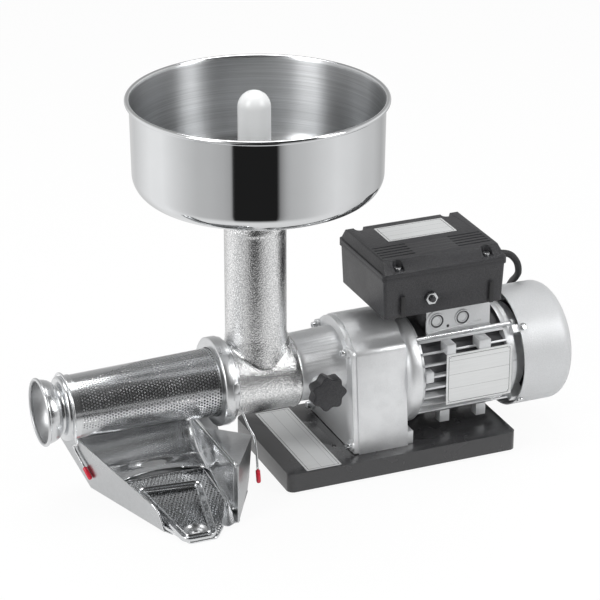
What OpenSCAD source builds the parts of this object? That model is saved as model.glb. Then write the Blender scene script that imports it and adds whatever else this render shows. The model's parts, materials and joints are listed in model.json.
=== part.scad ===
// Electric tomato press: a geared motor turns a screw inside a perforated cone.
// X runs along the screw from the pulp outlet to the motor, -Y is the front, Z is up.
// Positions are taken from the axis of the feed tube; at_origin moves all to the middle of the machine's length.

/* [Layout] */
// Height of the screw axis above the standing surface
axis_h = 116; // [114:1:122]
// Gap under the base skirt, left by the feet
foot_drop = 3; // [2:0.5:5]

/* [Base] */
// Length of the base tray
base_l = 282; // [280:1:296]
// Width of the base tray
base_w = 162; // [156:1:176]
// Height of the base skirt
base_h = 22; // [21:0.5:24]
// Sheet thickness of the base
base_t = 2.5; // [2:0.25:3]
// Corner radius of the base in plan
base_corner = 8; // [4:1:14]
// Distance from the feed tube axis to the left end of the base
base_start = 6; // [3:1:9]
// Diameter of the rubber feet
foot_d = 26; // [20:1:30]
// Distance of the feet from the edges of the base
foot_inset = 24; // [20:1:30]

/* [Feed body] */
// Outer diameter of the feed tube
feed_d = 68.6; // [66:0.2:72]
// Bore of the feed tube
feed_bore = 58; // [54:1:60]
// Height of the feed tube's mouth above the screw axis
feed_rise = 188; // [180:1:194]
// Outer diameter of the barrel
barrel_d = 85; // [82:0.5:88]
// Bore of the barrel
barrel_bore = 66; // [64:0.5:68]
// Length of the barrel on the filter side
barrel_left = 49; // [46:1:52]
// Length of the barrel on the gearbox side
barrel_right = 40; // [37:1:43]
// Diameter of the spigot that plugs into the gearbox neck
spigot_d = 67.6; // [66:0.2:69]
// Length of that spigot
spigot_l = 33; // [30:1:36]

/* [Auger] */
// Core diameter of the auger
core_d = 30; // [26:1:34]
// Pitch of the auger's flight
flight_pitch = 36; // [30:1:42]
// Thickness of the flight
flight_t = 5; // [4:0.5:6]
// Radial gap between the flight and its casing
flight_gap = 0.6; // [0.4:0.1:1.5]
// Width across the square drive
drive_w = 14; // [12:0.5:16]
// Diameter of the auger's shank
shank_d = 24; // [23:0.5:26]

/* [Filter] */
// Outer diameter of the cone at the ring
cone_big = 77; // [75:0.5:79]
// Outer diameter of the cone at the small end
cone_small = 70; // [68:0.5:72]
// Distance from the feed tube axis to the small end of the cone
cone_end = 226; // [220:1:230]
// Sheet thickness of the cone
cone_t = 0.8; // [0.6:0.1:1.2]
// Outer diameter of the clamp ring
ring_d = 100.4; // [98:0.2:104]
// Width of the clamp ring's front band
ring_w = 11; // [9:0.5:13]
// Diameter of the outlet's neck
neck_d = 50; // [46:1:54]
// Diameter of the outlet's rolled rim
outlet_d = 76; // [72:1:80]
// Length of the outlet bell
outlet_l = 20; // [17:1:23]

/* [Hopper] */
// Diameter of the hopper at its rolled rim
hopper_d = 285.4; // [280:0.2:292]
// Height of the hopper from its flat bottom to its rim
hopper_h = 108; // [100:1:116]
// Diameter of the rolled rim's bead
bead_d = 5.6; // [4:0.2:7]
// Radius where the wall turns into the bottom
hopper_round = 24; // [18:1:28]
// Sheet thickness of the hopper
hopper_t = 1.2; // [0.8:0.1:2]
// Height of the hopper's collar above the feed tube
collar_rise = 32; // [28:1:36]
// Offset of the hopper from the feed tube, towards the motor
hopper_shift = 4; // [0:0.5:5]
// Diameter of the pestle
pestle_d = 36.8; // [34:0.2:40]
// Length of the pestle
pestle_l = 300; // [290:1:310]

/* [Gearbox] */
// Distance from the feed tube axis to the face of the gearbox cover
cover_x = 93; // [92:0.5:95]
// Thickness of the gearbox cover
cover_t = 6; // [5:0.5:7]
// Depth of the gearbox housing behind the cover
housing_l = 60; // [58:1:64]
// Wall of the gearbox housing
housing_wall = 5; // [4:0.5:5.5]
// Radius of the arched top of the housing
arch_r = 53; // [51:0.5:55]
// Half width of the housing at its foot
foot_half = 64; // [62:0.5:66]
// Half width of the housing at its shoulder
shoulder_half = 54; // [52:0.5:55]
// Diameter of the neck that takes the feed body
socket_d = 77.4; // [76:0.2:80]
// Depth of the socket in the neck
socket_l = 36; // [34:1:38]
// Teeth of the motor pinion
z_pinion = 11; // [11:1:11]
// Teeth of the wheel on the layshaft
z_wheel = 44; // [44:1:44]
// Teeth of the pinion on the layshaft
z_lay = 14; // [14:1:14]
// Teeth of the output gear
z_out = 40; // [40:1:40]
// Module of the first gear pair
mod_1 = 1.25; // [1.2:0.01:1.27]
// Module of the second gear pair
mod_2 = 2; // [1.96:0.01:2.02]

/* [Motor] */
// Diameter of the finned motor frame
frame_d = 124; // [120:1:128]
// Length of the motor frame
frame_l = 116; // [112:1:118]
// Number of cooling fins round the frame
fin_n = 28; // [20:2:32]
// Height of the cooling fins
fin_h = 9; // [6:0.5:10]
// Diameter of the motor's end shield
shield_d = 132; // [128:1:134]
// Thickness of the end shield
shield_t = 17; // [15:1:19]
// Diameter of the fan cowl
cowl_d = 139; // [137:0.5:141]
// Length of the fan cowl
cowl_l = 69; // [66:1:74]
// Sheet thickness of the fan cowl
cowl_t = 1.5; // [1:0.1:2]
// Number of fan blades
blade_n = 8; // [6:1:10]

/* [Electrical box] */
// Length of the electrical box
box_l = 149; // [144:1:152]
// Width of the electrical box
box_w = 122; // [116:1:126]
// Height of the box up to its lid
box_h = 50; // [46:1:54]
// Wall of the box
box_t = 2.5; // [2:0.25:3.5]
// Width of the two slots in the front of the box
slot_w = 3; // [2:0.5:5]
// Height of those slots
slot_h = 26; // [10:1:30]
// Height of the lid
lid_h = 15; // [12:1:18]
// Distance from the feed tube axis to the left end of the box
box_start = 128; // [125:1:131]
// Diameter of the mains cord
cord_d = 8; // [7:0.2:9]

/* [Chute] */
// Sheet thickness of the chute and its trays
sheet_t = 1.2; // [1:0.1:1.6]
// Height of the strainer's beaded rim
rim_h = 5; // [4:0.5:6]
// Diameter of the spring wire
wire_d = 2.6; // [2.2:0.1:3]

/* [Hidden] */
$fn = 96;
eps = 0.01;
gap = 0.3;
run_fit = 0.05;
deck = foot_drop + base_h;
feed_top = axis_h + feed_rise;
base_end = base_start + base_l;
barrel_face = -barrel_left;
spigot_end = barrel_right + spigot_l;
housing_x = cover_x + cover_t;
housing_end = housing_x + housing_l;
socket_x = barrel_right + 0.5;
socket_end = socket_x + socket_l;
centre_1 = mod_1 * (z_pinion + z_wheel) / 2;
centre_2 = mod_2 * (z_lay + z_out) / 2;
lay_h = axis_h - centre_2;
motor_h = lay_h + centre_1;
shoulder_h = axis_h + 24;
gear2_x = housing_x + 5;
gear2_w = 18;
gear1_x = gear2_x + gear2_w + 5;
gear1_w = 10;
shaft_r = 12;
journal_r = 7;
bearing_w = 13;
bearing_r = 26;
bearing_x = socket_end + 3;
shield_x = housing_end;
frame_x = shield_x + shield_t;
frame_end = frame_x + frame_l;
rear_t = 18;
rear_end = frame_end + rear_t;
cowl_x = frame_end + 10;
cowl_pin_x = cowl_x + 4;
arm_turns = [41, 139, 221, 319];
cowl_end = cowl_x + cowl_l;
motor_shaft_r = 9;
cone_start = -(barrel_left + 1.5);
ring_x = cone_start - 4;
ring_back = ring_x + ring_w + 4;
outlet_x = -cone_end;
hopper_base = feed_top + collar_rise;
hopper_top = hopper_base + hopper_h;
box_base = motor_h + frame_d / 2 + 25;
box_top = box_base + box_h;
lid_top = box_top + lid_h;

outlet_rim = 2;
outlet_end = -cone_end - 6 - outlet_l - outlet_rim;
mid_x = (outlet_end + cowl_end) / 2;

// Shift from the feed tube's axis to the middle of the length
module at_origin() {
    translate([-mid_x, 0, 0]) children();
}

// Points of a circle arc in the plane, from angle a to angle b
function arc(cx, cy, r, a, b, n) = [for (i = [0:n]) [cx + r * cos(a + (b - a) * i / n), cy + r * sin(a + (b - a) * i / n)]];

// Outline of a spur gear with a tooth centred on angle turn
function gear_points(z, m, turn) = [for (i = [0:z - 1], k = [0:7])
    let (half = 90 / z * 0.86,
        r = [m * (z / 2 - 1.2), m * (z / 2 - 1.05), m * z / 2, m * (z / 2 + 0.97), m * (z / 2 + 0.97), m * z / 2,
            m * (z / 2 - 1.05), m * (z / 2 - 1.2)][k],
        w = [-1.75, -1.45, -1, -0.42, 0.42, 1, 1.45, 1.75][k],
        a = turn + 360 / z * i + half * w)
    [r * cos(a), r * sin(a)]];

// Cylinder along X from x0 to x1 at height z and depth y
module xcyl(r, x0, x1, z = axis_h, y = 0, fn = 96) {
    translate([x0, y, z]) rotate([0, 90, 0]) cylinder(h = x1 - x0, r = r, $fn = fn);
}

// Cone along X from radius ra at x0 to radius rb at x1
module xcone(ra, rb, x0, x1, z = axis_h) {
    translate([x0, 0, z]) rotate([0, 90, 0]) cylinder(h = x1 - x0, r1 = ra, r2 = rb);
}

// Body turned about a line along X, from points [radius, x]
module xturn(points, z = axis_h) {
    translate([0, 0, z]) rotate([0, 90, 0]) rotate_extrude() polygon(points);
}

// Outline in the Y-Z plane carried along X
module along_x(x0, x1) {
    translate([x0, 0, 0]) rotate([90, 0, 90]) linear_extrude(x1 - x0) children();
}

// Outline in the X-Z plane carried along Y
module along_y(y0, y1) {
    translate([0, y1, 0]) rotate([90, 0, 0]) linear_extrude(y1 - y0) children();
}

// Rectangle with round corners, exact arcs
module round_rect(x0, y0, x1, y1, r) {
    translate([x0 + r, y0]) square([x1 - x0 - 2 * r, y1 - y0]);
    translate([x0, y0 + r]) square([x1 - x0, y1 - y0 - 2 * r]);
    for (x = [x0 + r, x1 - r], y = [y0 + r, y1 - r]) translate([x, y]) circle(r, $fn = 48);
}

// Flat sheet from a loop of points, counter-clockwise seen from the side that v points to, thickened by v
module plate(points, v) {
    n = len(points);
    polyhedron([for (p = points) p, for (p = points) p + v],
        [[for (i = [0:n - 1]) i], [for (i = [n - 1:-1:0]) n + i],
            for (i = [0:n - 1]) [i, n + i, n + (i + 1) % n, (i + 1) % n]]);
}

// Socket-head cap screw along X: the head's seat is at x, the shank runs towards +X
module cap_screw(x, y, z, d, l) {
    difference() {
        union() {
            xcyl(d * 0.8, x - d, x, z, y, 32);
            xcyl(d / 2, x - eps, x + l, z, y, 24);
        }
        xcyl(d * 0.48, x - d - eps, x - d * 0.4, z, y, 6);
    }
}

// Round tube swept along points, one polygon ring at each point
function ring_at(p, d, r, n) =
    let (u = d / norm(d), s = abs(u[2]) > 0.9 ? [1, 0, 0] : [0, 0, 1],
        a = cross(u, s) / norm(cross(u, s)), b = cross(u, a))
    [for (i = [0:n - 1]) p + r * (cos(360 * i / n) * a + sin(360 * i / n) * b)];
module sweep(path, r, n = 8) {
    m = len(path);
    rings = [for (i = [0:m - 1])
        ring_at(path[i], path[min(i + 1, m - 1)] - path[max(i - 1, 0)], r, n)];
    polyhedron([for (q = rings) for (p = q) p],
        [[for (i = [0:n - 1]) i], [for (i = [n - 1:-1:0]) (m - 1) * n + i],
            for (j = [0:m - 2], i = [0:n - 1])
                [j * n + i, (j + 1) * n + i, (j + 1) * n + (i + 1) % n, j * n + (i + 1) % n]]);
}

// Base

module base_outline(inset) {
    round_rect(base_start + inset, -base_w / 2 + inset, base_end - inset, base_w / 2 - inset, base_corner - inset);
}

foot_spots = [for (x = [base_start + foot_inset, base_end - foot_inset], y = [-1, 1])
    [x, y * (base_w / 2 - foot_inset)]];
bolt_spots = [for (x = [housing_x + 10, housing_end - 10], y = [-1, 1]) [x, y * (foot_half - 16)]];
vent_spots = [[81, 35], [81, -33]];

module base_plate() {
    at_origin() color("#2b2c2e") difference() {
        translate([0, 0, foot_drop]) linear_extrude(base_h) base_outline(0);
        translate([0, 0, foot_drop - 1]) linear_extrude(base_h - base_t + 1) base_outline(base_t);
        for (p = foot_spots) translate([p[0], p[1], deck - base_t - 1]) cylinder(h = base_t + 0.4, r = 2.6, $fn = 24);
        for (p = bolt_spots) translate([p[0], p[1], deck - base_t - 1]) cylinder(h = base_t + 2, r = 3.2, $fn = 24);
        for (p = vent_spots) translate([p[0], p[1], deck - base_t - 1]) cylinder(h = base_t + 2, r = 2.6, $fn = 24);
    }
}

module rubber_feet() {
    at_origin() color("#1c1c1d") for (p = foot_spots) translate([p[0], p[1], 0]) difference() {
        cylinder(h = deck - base_t, r1 = foot_d / 2 - 2, r2 = foot_d / 2);
        translate([0, 0, -1]) cylinder(h = 10, r = 5, $fn = 32);
        cylinder(h = deck, r = 2.6, $fn = 24);
    }
}

module foot_screws() {
    at_origin() color("silver") for (p = foot_spots) translate([p[0], p[1], 0]) {
        translate([0, 0, 6]) cylinder(h = 3, r = 4.5, $fn = 32);
        cylinder_from(8, deck - 0.8, 2.4);
    }
}

module cylinder_from(z0, z1, r) {
    translate([0, 0, z0]) cylinder(h = z1 - z0, r = r, $fn = 24);
}

module base_label() {
    at_origin() color("#b9bab8") translate([0, 0, deck]) linear_extrude(0.4)
        round_rect(29, -base_w / 2 + 3, 71, base_w / 2 - 4, 1);
}

// Gearbox

// Outline of the housing across the screw axis, shrunk by inset
module housing_outline(inset) {
    low = deck + (inset > 0 ? inset : 0);
    side = [[foot_half - inset, low], [shoulder_half - inset, shoulder_h - inset / 2]];
    bump = arc(shoulder_half - inset - 8, shoulder_h - inset / 2, 8, 0, 75, 5);
    top = arc(0, axis_h, arch_r - inset, 42, 138, 24);
    right = concat(side, bump);
    polygon(concat(right, top, [for (i = [len(right) - 1:-1:0]) [-right[i][0], right[i][1]]]));
}

module gearbox_housing() {
    boss = 9.6;
    at_origin() color("#b4b6b8") difference() {
        union() {
            along_x(housing_x, housing_end) housing_outline(0);
            for (s = [-1, 1]) translate([housing_end - 2, s * (foot_half - 14) - 10, deck]) cube([10, 20, 15]);
        }
        difference() {
            along_x(housing_x - 1, housing_end - 7) housing_outline(housing_wall);
            for (p = bolt_spots) translate([p[0], p[1], deck]) cylinder(h = 22, r = 7, $fn = 48);
            for (p = cover_spots) xcyl(6.5, housing_x, housing_x + 16, p[1], p[0], 48);
            xcyl(rear_bush_r + 3, housing_end - 17, housing_end, axis_h, 0, 64);
            xcyl(lay_bush_r + 3.5, housing_end - 17, housing_end, lay_h, 0, 64);
        }
        xcyl(rear_bush_r, housing_end - 17 - eps, housing_end - 5, axis_h);
        xcyl(lay_bush_r, housing_end - 17 - eps, housing_end - 5, lay_h);
        xcyl(boss, housing_end - 18, housing_end + 1, motor_h, 0, 64);
        for (p = cover_spots) xcyl(2.5, housing_x - 1, housing_x + 13, p[1], p[0], 24);
        for (p = bolt_spots) translate([p[0], p[1], deck - 1]) cylinder(h = 17, r = 3, $fn = 24);
    }
}

cover_spots = [[41, axis_h + 27], [-41, axis_h + 27], [57, deck + 10], [-57, deck + 10]];
rear_bush_r = 9;
lay_bush_r = 10;

module gearbox_cover() {
    nr = socket_d / 2;
    at_origin() color("#babcbe") difference() {
        union() {
            along_x(cover_x, housing_x) housing_outline(1.2);
            xcone(nr, nr + 2, socket_x, cover_x + eps);
            for (p = cover_spots) xcyl(6.5, cover_x - 3, cover_x + eps, p[1], p[0], 48);
            xcyl(lay_bush_r + 3.5, cover_x, housing_x + 3, lay_h, 0, 64);
            along_y(-nr - 9, -nr + 6) translate([knob_x, knob_h]) circle(8, $fn = 48);
        }
        xcyl(spigot_d / 2 + run_fit, socket_x - 1, socket_end);
        xcyl(shaft_r + 1, socket_x, housing_x + 1);
        xcyl(bearing_r, bearing_x, housing_x + 1);
        xcyl(lay_bush_r, cover_x + 1.5, housing_x + 4, lay_h);
        for (p = cover_spots) xcyl(3.2, cover_x - 4, housing_x + 1, p[1], p[0], 24);
        along_y(-nr - 20, -spigot_d / 2 + 4) translate([knob_x, knob_h]) circle(stud_r, $fn = 32);
    }
}

module cover_screws() {
    at_origin() color("#8d8f92") for (p = cover_spots) cap_screw(cover_x - 3, p[0], p[1], 5, 20);
}

module housing_bolts() {
    at_origin() color("silver") for (p = bolt_spots) translate([p[0], p[1], 0]) {
        translate([0, 0, deck - base_t - 4]) cylinder(h = 4, r = 5, $fn = 6);
        cylinder_from(deck - base_t - 1, deck + 14, 2.9);
    }
}

// Gears and shafts

module spur(z, m, x0, w, h, turn) {
    translate([x0, 0, h]) rotate([90, 0, 90]) linear_extrude(w) polygon(gear_points(z, m, turn));
}

module output_gear() {
    at_origin() color("#9a9c9f") difference() {
        union() {
            spur(z_out, mod_2, gear2_x, gear2_w, axis_h, -90);
            xcyl(20, gear2_x - 2, gear2_x + gear2_w + 2, axis_h);
        }
        xcyl(shaft_r, gear2_x - 3, gear2_x + gear2_w + 3, axis_h);
        for (s = [-eps - 3, gear2_w - 5]) difference() {
            xcyl(33, gear2_x + s, gear2_x + s + 8, axis_h);
            xcyl(20, gear2_x + s - 1, gear2_x + s + 9, axis_h);
        }
    }
}

module output_shaft() {
    at_origin() color("#a9abae") {
        xcyl(shaft_r, socket_end, gear2_x + gear2_w + 2, axis_h);
        xcyl(6, gear2_x + gear2_w, housing_end - 6, axis_h);
        translate([spigot_end - 19, -drive_w / 2, axis_h - drive_w / 2])
            cube([socket_end - spigot_end + 20, drive_w, drive_w]);
    }
}

module bearing(x0, w, ro, ri, h) {
    mid = (ro + ri) / 2;
    difference() {
        xcyl(ro, x0, x0 + w, h);
        xcyl(ri, x0 - 1, x0 + w + 1, h);
        for (x = [x0 - 1, x0 + w - 1]) difference() {
            xcyl(mid + (ro - ri) * 0.2, x, x + 2, h);
            xcyl(mid - (ro - ri) * 0.2, x - 1, x + 3, h);
        }
    }
}

module output_bearing() {
    at_origin() color("silver") bearing(bearing_x, bearing_w, bearing_r, shaft_r + run_fit, axis_h);
}

module rear_bush() {
    at_origin() color("#b08d4a") difference() {
        xcyl(rear_bush_r, housing_end - 17, housing_end - 5, axis_h);
        xcyl(6 + run_fit, housing_end - 18, housing_end - 4, axis_h);
    }
}

module lay_shaft() {
    at_origin() color("#a9abae") {
        xcyl(journal_r, cover_x + 2, housing_end - 6, lay_h);
        spur(z_lay, mod_2, gear2_x - 1, gear2_w + 2, lay_h, 90 + 180 / z_lay);
    }
}

module lay_wheel() {
    at_origin() color("#9a9c9f") difference() {
        union() {
            spur(z_wheel, mod_1, gear1_x, gear1_w, lay_h, 90);
            xcyl(12, gear1_x, gear1_x + gear1_w + 4, lay_h);
        }
        xcyl(journal_r, gear1_x - 1, gear1_x + gear1_w + 5, lay_h);
    }
}

module lay_bushes() {
    at_origin() color("#b08d4a") for (x = [cover_x + 1.5, housing_end - 17]) difference() {
        xcyl(lay_bush_r, x, x + 8, lay_h);
        xcyl(journal_r + run_fit, x - 1, x + 9, lay_h);
    }
}

module motor_pinion() {
    at_origin() color("#9a9c9f") difference() {
        spur(z_pinion, mod_1, gear1_x - 1, gear1_w + 3, motor_h, -90 + 180 / z_pinion);
        xcyl(4.2, gear1_x - 2, gear1_x + gear1_w + 3, motor_h, 0, 48);
    }
}

// Motor

module motor_shield() {
    r = shield_d / 2;
    at_origin() color("#b9bbbd") difference() {
        xturn([[0, shield_x], [r - 5, shield_x], [r - 1, shield_x + 4], [r, shield_x + 8], [r, frame_x],
            [0, frame_x]], motor_h);
        xcyl(17.5, shield_x + 5, frame_x + 1, motor_h);
        xcyl(10, shield_x - 1, frame_x, motor_h);
        for (p = rod_spots) xcyl(rod_r + 0.02, shield_x + 8, frame_x + 1, motor_h + p[1], p[0], 24);
        translate([shield_x - 1, -80, -100]) cube([shield_t + 2, 160, 100 + deck + 0.5]);
    }
}

rod_ring = frame_d / 2 - 2;
rod_r = 2.5;
rod_spots = [for (a = [50, 130, 230, 310]) [rod_ring * cos(a), rod_ring * sin(a)]];
rod_end = frame_end + 5;

module motor_frame() {
    r = frame_d / 2;
    hub = r - fin_h;
    at_origin() color("#c0c2c4") difference() {
        union() {
            xcyl(hub, frame_x, frame_end, motor_h);
            for (x = [frame_x, frame_end - 6]) xcyl(r - 2.5, x, x + 6, motor_h);
            for (i = [0:fin_n - 1]) let (a = 360 / fin_n * (i + 0.5)) if (abs(a - 90) > 40)
                translate([frame_x + 5, 0, motor_h]) rotate([a, 0, 0]) translate([0, hub - 2, -1.2])
                    cube([frame_l - 10, fin_h + 2 - abs(sin(a * 2)) * 1.2, 2.4]);
            translate([frame_x + 17, -42, motor_h + 20]) cube([80, 84, box_base - motor_h - 20]);
            for (x = [frame_x + 34, frame_x + 80], s = [-1, 1])
                translate([x, s * 34 - 6, motor_h - r - 1]) cube([12, 12, 20]);
        }
        xcyl(hub - 7, frame_x - 1, frame_end + 1, motor_h);
        for (p = rod_spots) xcyl(rod_r + 0.3, frame_x - 1, frame_end + 1, motor_h + p[1], p[0], 24);
        translate([frame_x + 21, -38, motor_h + hub - 2]) cube([72, 76, 60]);
        for (x = [frame_x + 26, frame_x + 62]) translate([x + 4, 43, box_base - 12]) rotate([90, 0, 0])
            translate([0, 0, 82]) cylinder(h = 6, r = 8.2, $fn = 48);
    }
}

module stator() {
    hub = frame_d / 2 - fin_h - 7;
    at_origin() color("#8a5a2e") difference() {
        union() {
            xcyl(hub, frame_x + 22, frame_end - 26, motor_h);
            xcyl(hub - 8, frame_x + 12, frame_end - 16, motor_h);
        }
        xcyl(28, frame_x + 11, frame_end - 15, motor_h);
    }
}

module rotor() {
    at_origin() color("#909295") {
        xcyl(27.5, frame_x + 22, frame_end - 26, motor_h);
        xcyl(motor_shaft_r, shield_x + 4, frame_end + 10, motor_h);
        xcyl(4.2, gear1_x - 1, shield_x + 5, motor_h, 0, 48);
        xcyl(6, frame_end + 9, cowl_end - 24, motor_h);
    }
}

module motor_bearings() {
    at_origin() color("silver") {
        bearing(shield_x + 5, 11, 17.5, motor_shaft_r + run_fit, motor_h);
        bearing(frame_end + 1, 9, 15, motor_shaft_r + run_fit, motor_h);
    }
}

module rear_shield() {
    r = frame_d / 2;
    at_origin() color("#8f9194") difference() {
        union() {
            xcyl(r - 3, frame_end, frame_end + 5, motor_h);
            xcyl(r - 10, frame_end, rear_end, motor_h);
            for (a = arm_turns) translate([frame_end + 2, 0, motor_h]) rotate([a, 0, 0])
                translate([0, 0, -4.5]) cube([rear_t - 2, cowl_d / 2 - cowl_t - gap, 9]);
        }
        xcyl(15, frame_end - 1, rear_end - 2, motor_h);
        xcyl(7, frame_end, rear_end + 1, motor_h);
        for (p = rod_spots) xcyl(rod_r + 0.02, frame_end - 1, rear_end + 1, motor_h + p[1], p[0], 24);
        for (p = rod_spots) xcyl(5, rod_end, rear_end + 1, motor_h + p[1], p[0], 32);
        for (a = arm_turns) translate([cowl_pin_x, 0, motor_h]) rotate([a, 0, 0])
            translate([0, cowl_d / 2 - 12, 0]) rotate([-90, 0, 0]) cylinder(h = 12, r = 2.2, $fn = 24);
    }
}

module fan() {
    x0 = rear_end + 4;
    at_origin() color("#2c2d2f") difference() {
        union() {
            xcyl(12, x0, x0 + 26, motor_h, 0, 48);
            xcyl(52, x0, x0 + 3, motor_h);
            for (i = [0:blade_n - 1]) translate([x0 + 2, 0, motor_h]) rotate([360 / blade_n * i, 0, 0])
                translate([0, 10, -1.2]) cube([20, 44, 2.4]);
        }
        xcyl(6.02, x0 - 1, x0 + 27, motor_h);
    }
}

// Outline [radius, x] of the cowl's domed skin, shrunk by inset
function cowl_points(inset) = concat([[cowl_d / 2 - inset, cowl_x - (inset > 0 ? 1 : 0)]],
    [for (i = [0:10]) let (a = 90 * i / 10)
        [cowl_d / 2 - 26 + 26 * cos(a) - inset * cos(a), cowl_end - 18 + 18 * sin(a) - inset * sin(a)]]);

module fan_cowl() {
    at_origin() color("#a2a4a6") difference() {
        xturn(concat([[0, cowl_x]], cowl_points(0), [[0, cowl_end]]), motor_h);
        xturn(concat([[0, cowl_x - 1]], cowl_points(cowl_t), [[0, cowl_end - cowl_t]]), motor_h);
        for (k = [1:3]) difference() {
            xcyl(10 + k * 8, cowl_end - 8, cowl_end + 1, motor_h);
            xcyl(6 + k * 8, cowl_end - 9, cowl_end + 2, motor_h);
            for (a = [0, 60, 120]) translate([cowl_end - 10, 0, motor_h]) rotate([a, 0, 0])
                translate([0, -50, -2.5]) cube([20, 100, 5]);
        }
        for (a = arm_turns) translate([cowl_pin_x, 0, motor_h]) rotate([a, 0, 0])
            translate([0, cowl_d / 2 - 5, 0]) rotate([-90, 0, 0]) cylinder(h = 8, r = 2.2, $fn = 24);
    }
}

module cowl_screws() {
    at_origin() color("silver") for (a = arm_turns) translate([cowl_pin_x, 0, motor_h]) rotate([a, 0, 0])
        translate([0, cowl_d / 2, 0]) rotate([-90, 0, 0]) {
            cylinder(h = 2.4, r = 4.2, $fn = 32);
            translate([0, 0, -8]) cylinder(h = 8 + eps, r = 2.1, $fn = 24);
        }
}

module tie_rods() {
    at_origin() color("silver") for (p = rod_spots) {
        xcyl(rod_r, shield_x + 8, rod_end + 6, motor_h + p[1], p[0], 24);
        xcyl(4.5, rod_end, rod_end + 4, motor_h + p[1], p[0], 6);
    }
}

module nameplate() {
    at_origin() color("#c9cacb") translate([frame_x + 30, -frame_d / 2 - 1.1, motor_h - 30]) cube([82, 1.2, 62]);
}

// Electrical box

module box_shell(inset, z0, z1, low) {
    hull() {
        translate([0, 0, z0]) linear_extrude(eps)
            round_rect(box_start + inset + low, -box_w / 2 + inset + low, box_start + box_l - inset - low,
                box_w / 2 - inset - low, 4);
        translate([0, 0, z1 - eps]) linear_extrude(eps)
            round_rect(box_start + inset, -box_w / 2 + inset, box_start + box_l - inset, box_w / 2 - inset, 4);
    }
}

slot_in = box_t + 0.4;
button_x = box_start + 57;
button_h = box_base + 19;
lid_spots = [for (x = [box_start + 20, box_start + box_l - 20], y = [-1, 1]) [x, y * (box_w / 2 - 9)]];

module electrical_box() {
    at_origin() color("#26272a") difference() {
        union() {
            box_shell(0, box_base, box_top, 2);
            translate([0, 0, box_top - 4]) linear_extrude(4)
                round_rect(box_start - 1.5, -box_w / 2 - 1.5, box_start + box_l + 1.5, box_w / 2 + 1.5, 5);
        }
        difference() {
            box_shell(box_t, box_base + box_t, box_top + 1, 2);
            for (p = lid_spots) translate([p[0], p[1], box_base]) cylinder(h = box_h, r = 5, $fn = 48);
        }
        for (p = lid_spots) translate([p[0], p[1], box_top - 14]) cylinder(h = 15, r = 1.8, $fn = 24);
        along_y(-box_w / 2 - 5, -box_w / 2 + 8) translate([button_x, button_h]) circle(4.1, $fn = 48);
        xcyl(gland_r, box_start + box_l - 6, box_start + box_l + 3, gland_h, gland_y, 64);
        for (x = [box_start + 22, box_start + box_l - 18])
            translate([x, -box_w / 2 - 1, box_base - 1]) cube([slot_w, 1 + slot_in, slot_h]);
        translate([frame_x + 25, -30, box_base - 1]) cube([64, 60, box_t + 2]);
    }
}

module box_lid() {
    s = 14;
    at_origin() color("#2b2c2f") difference() {
        union() {
            translate([0, 0, box_top]) linear_extrude(4)
                round_rect(box_start - 1.5, -box_w / 2 - 1.5, box_start + box_l + 1.5, box_w / 2 + 1.5, 5);
            hull() {
                translate([box_start + 1, -box_w / 2 + 1, box_top + 3]) cube([box_l - 2, box_w - 2, 1]);
                translate([box_start + 4, -box_w / 2 + s, lid_top - 1]) cube([box_l - 8, box_w - s - 6, 1]);
            }
        }
        for (p = lid_spots) {
            translate([p[0], p[1], box_top + 5]) cylinder(h = 30, r = 6, $fn = 48);
            translate([p[0] - 6, p[1] < 0 ? p[1] - 20 : p[1], box_top + 5]) cube([12, 20, 30]);
            translate([p[0], p[1], box_top - 1]) cylinder(h = 10, r = 2.2, $fn = 24);
        }
        translate([box_start + 5, -box_w / 2 + 5, box_top - 1]) cube([box_l - 10, box_w - 10, 3]);
        for (x = [0, 1], k = [0:4]) translate([x == 0 ? box_start + 8 : box_start + box_l - 48,
            -box_w / 2 + 22 + k * 7, lid_top - 0.8]) cube([40, 3, 2]);
    }
}

module lid_screws() {
    at_origin() color("silver") for (p = lid_spots) translate([p[0], p[1], 0]) {
        translate([0, 0, box_top + 5]) cylinder(h = 3, r = 4, $fn = 32);
        cylinder_from(box_top - 12, box_top + 5 + eps, 1.7);
    }
}

module box_label() {
    at_origin() color("#b9bbb9") translate([0, 0, lid_top]) linear_extrude(0.4)
        round_rect(box_start + 34, 3, box_start + 119, 44, 1);
}

module capacitor() {
    at_origin() color("#d8d8d2") difference() {
        xcyl(19, box_start + 14, box_start + 100, box_base + box_t + 19.3, box_w / 2 - 36, 64);
        xcyl(15, box_start + 13, box_start + 17, box_base + box_t + 19.3, box_w / 2 - 36, 64);
    }
}

module button_nut() {
    at_origin() color("silver") difference() {
        along_y(-box_w / 2 - 3.6, -box_w / 2 + 0.4) translate([button_x, button_h]) circle(7.5, $fn = 6);
        along_y(-box_w / 2 - 5, -box_w / 2 + 2) translate([button_x, button_h]) circle(3.9, $fn = 48);
    }
}

module reset_button() {
    at_origin() color("#1d1d1f") along_y(-box_w / 2 - 7, -box_w / 2 + 14) translate([button_x, button_h]) circle(3.5, $fn = 48);
}

// Mains cord: out of the box's right end, down behind the cowl to the standing surface

gland_r = 7;
gland_y = 14;
gland_h = box_base + 24;
gland_l = 24;
gland_x = box_start + box_l;
cord_out = gland_x + gland_l;
cord_path = [[cord_out, 14, gland_h], [cord_out + 4, 14, gland_h], [321, 14.5, 203], [332, 17, 191], [338, 23, 176],
    [342, 36, 163], [345, 53, 149], [346.5, 68, 130], [346.5, 76, 108], [345, 81, 86], [342, 85, 64], [338, 89, 44],
    [331, 94, 25], [319, 102, 10.5], [304.6, 113.2, cord_d / 2], [289, 128.8, cord_d / 2],
    [274, 143.8, cord_d / 2], [261, 156.8, cord_d / 2], [253, 164.8, cord_d / 2]];
coil_r = 44;
coil_x = 200;
coil_y = 150;
plug_x = coil_x - coil_r - 17;
plug_y = coil_y + 42;

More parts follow.
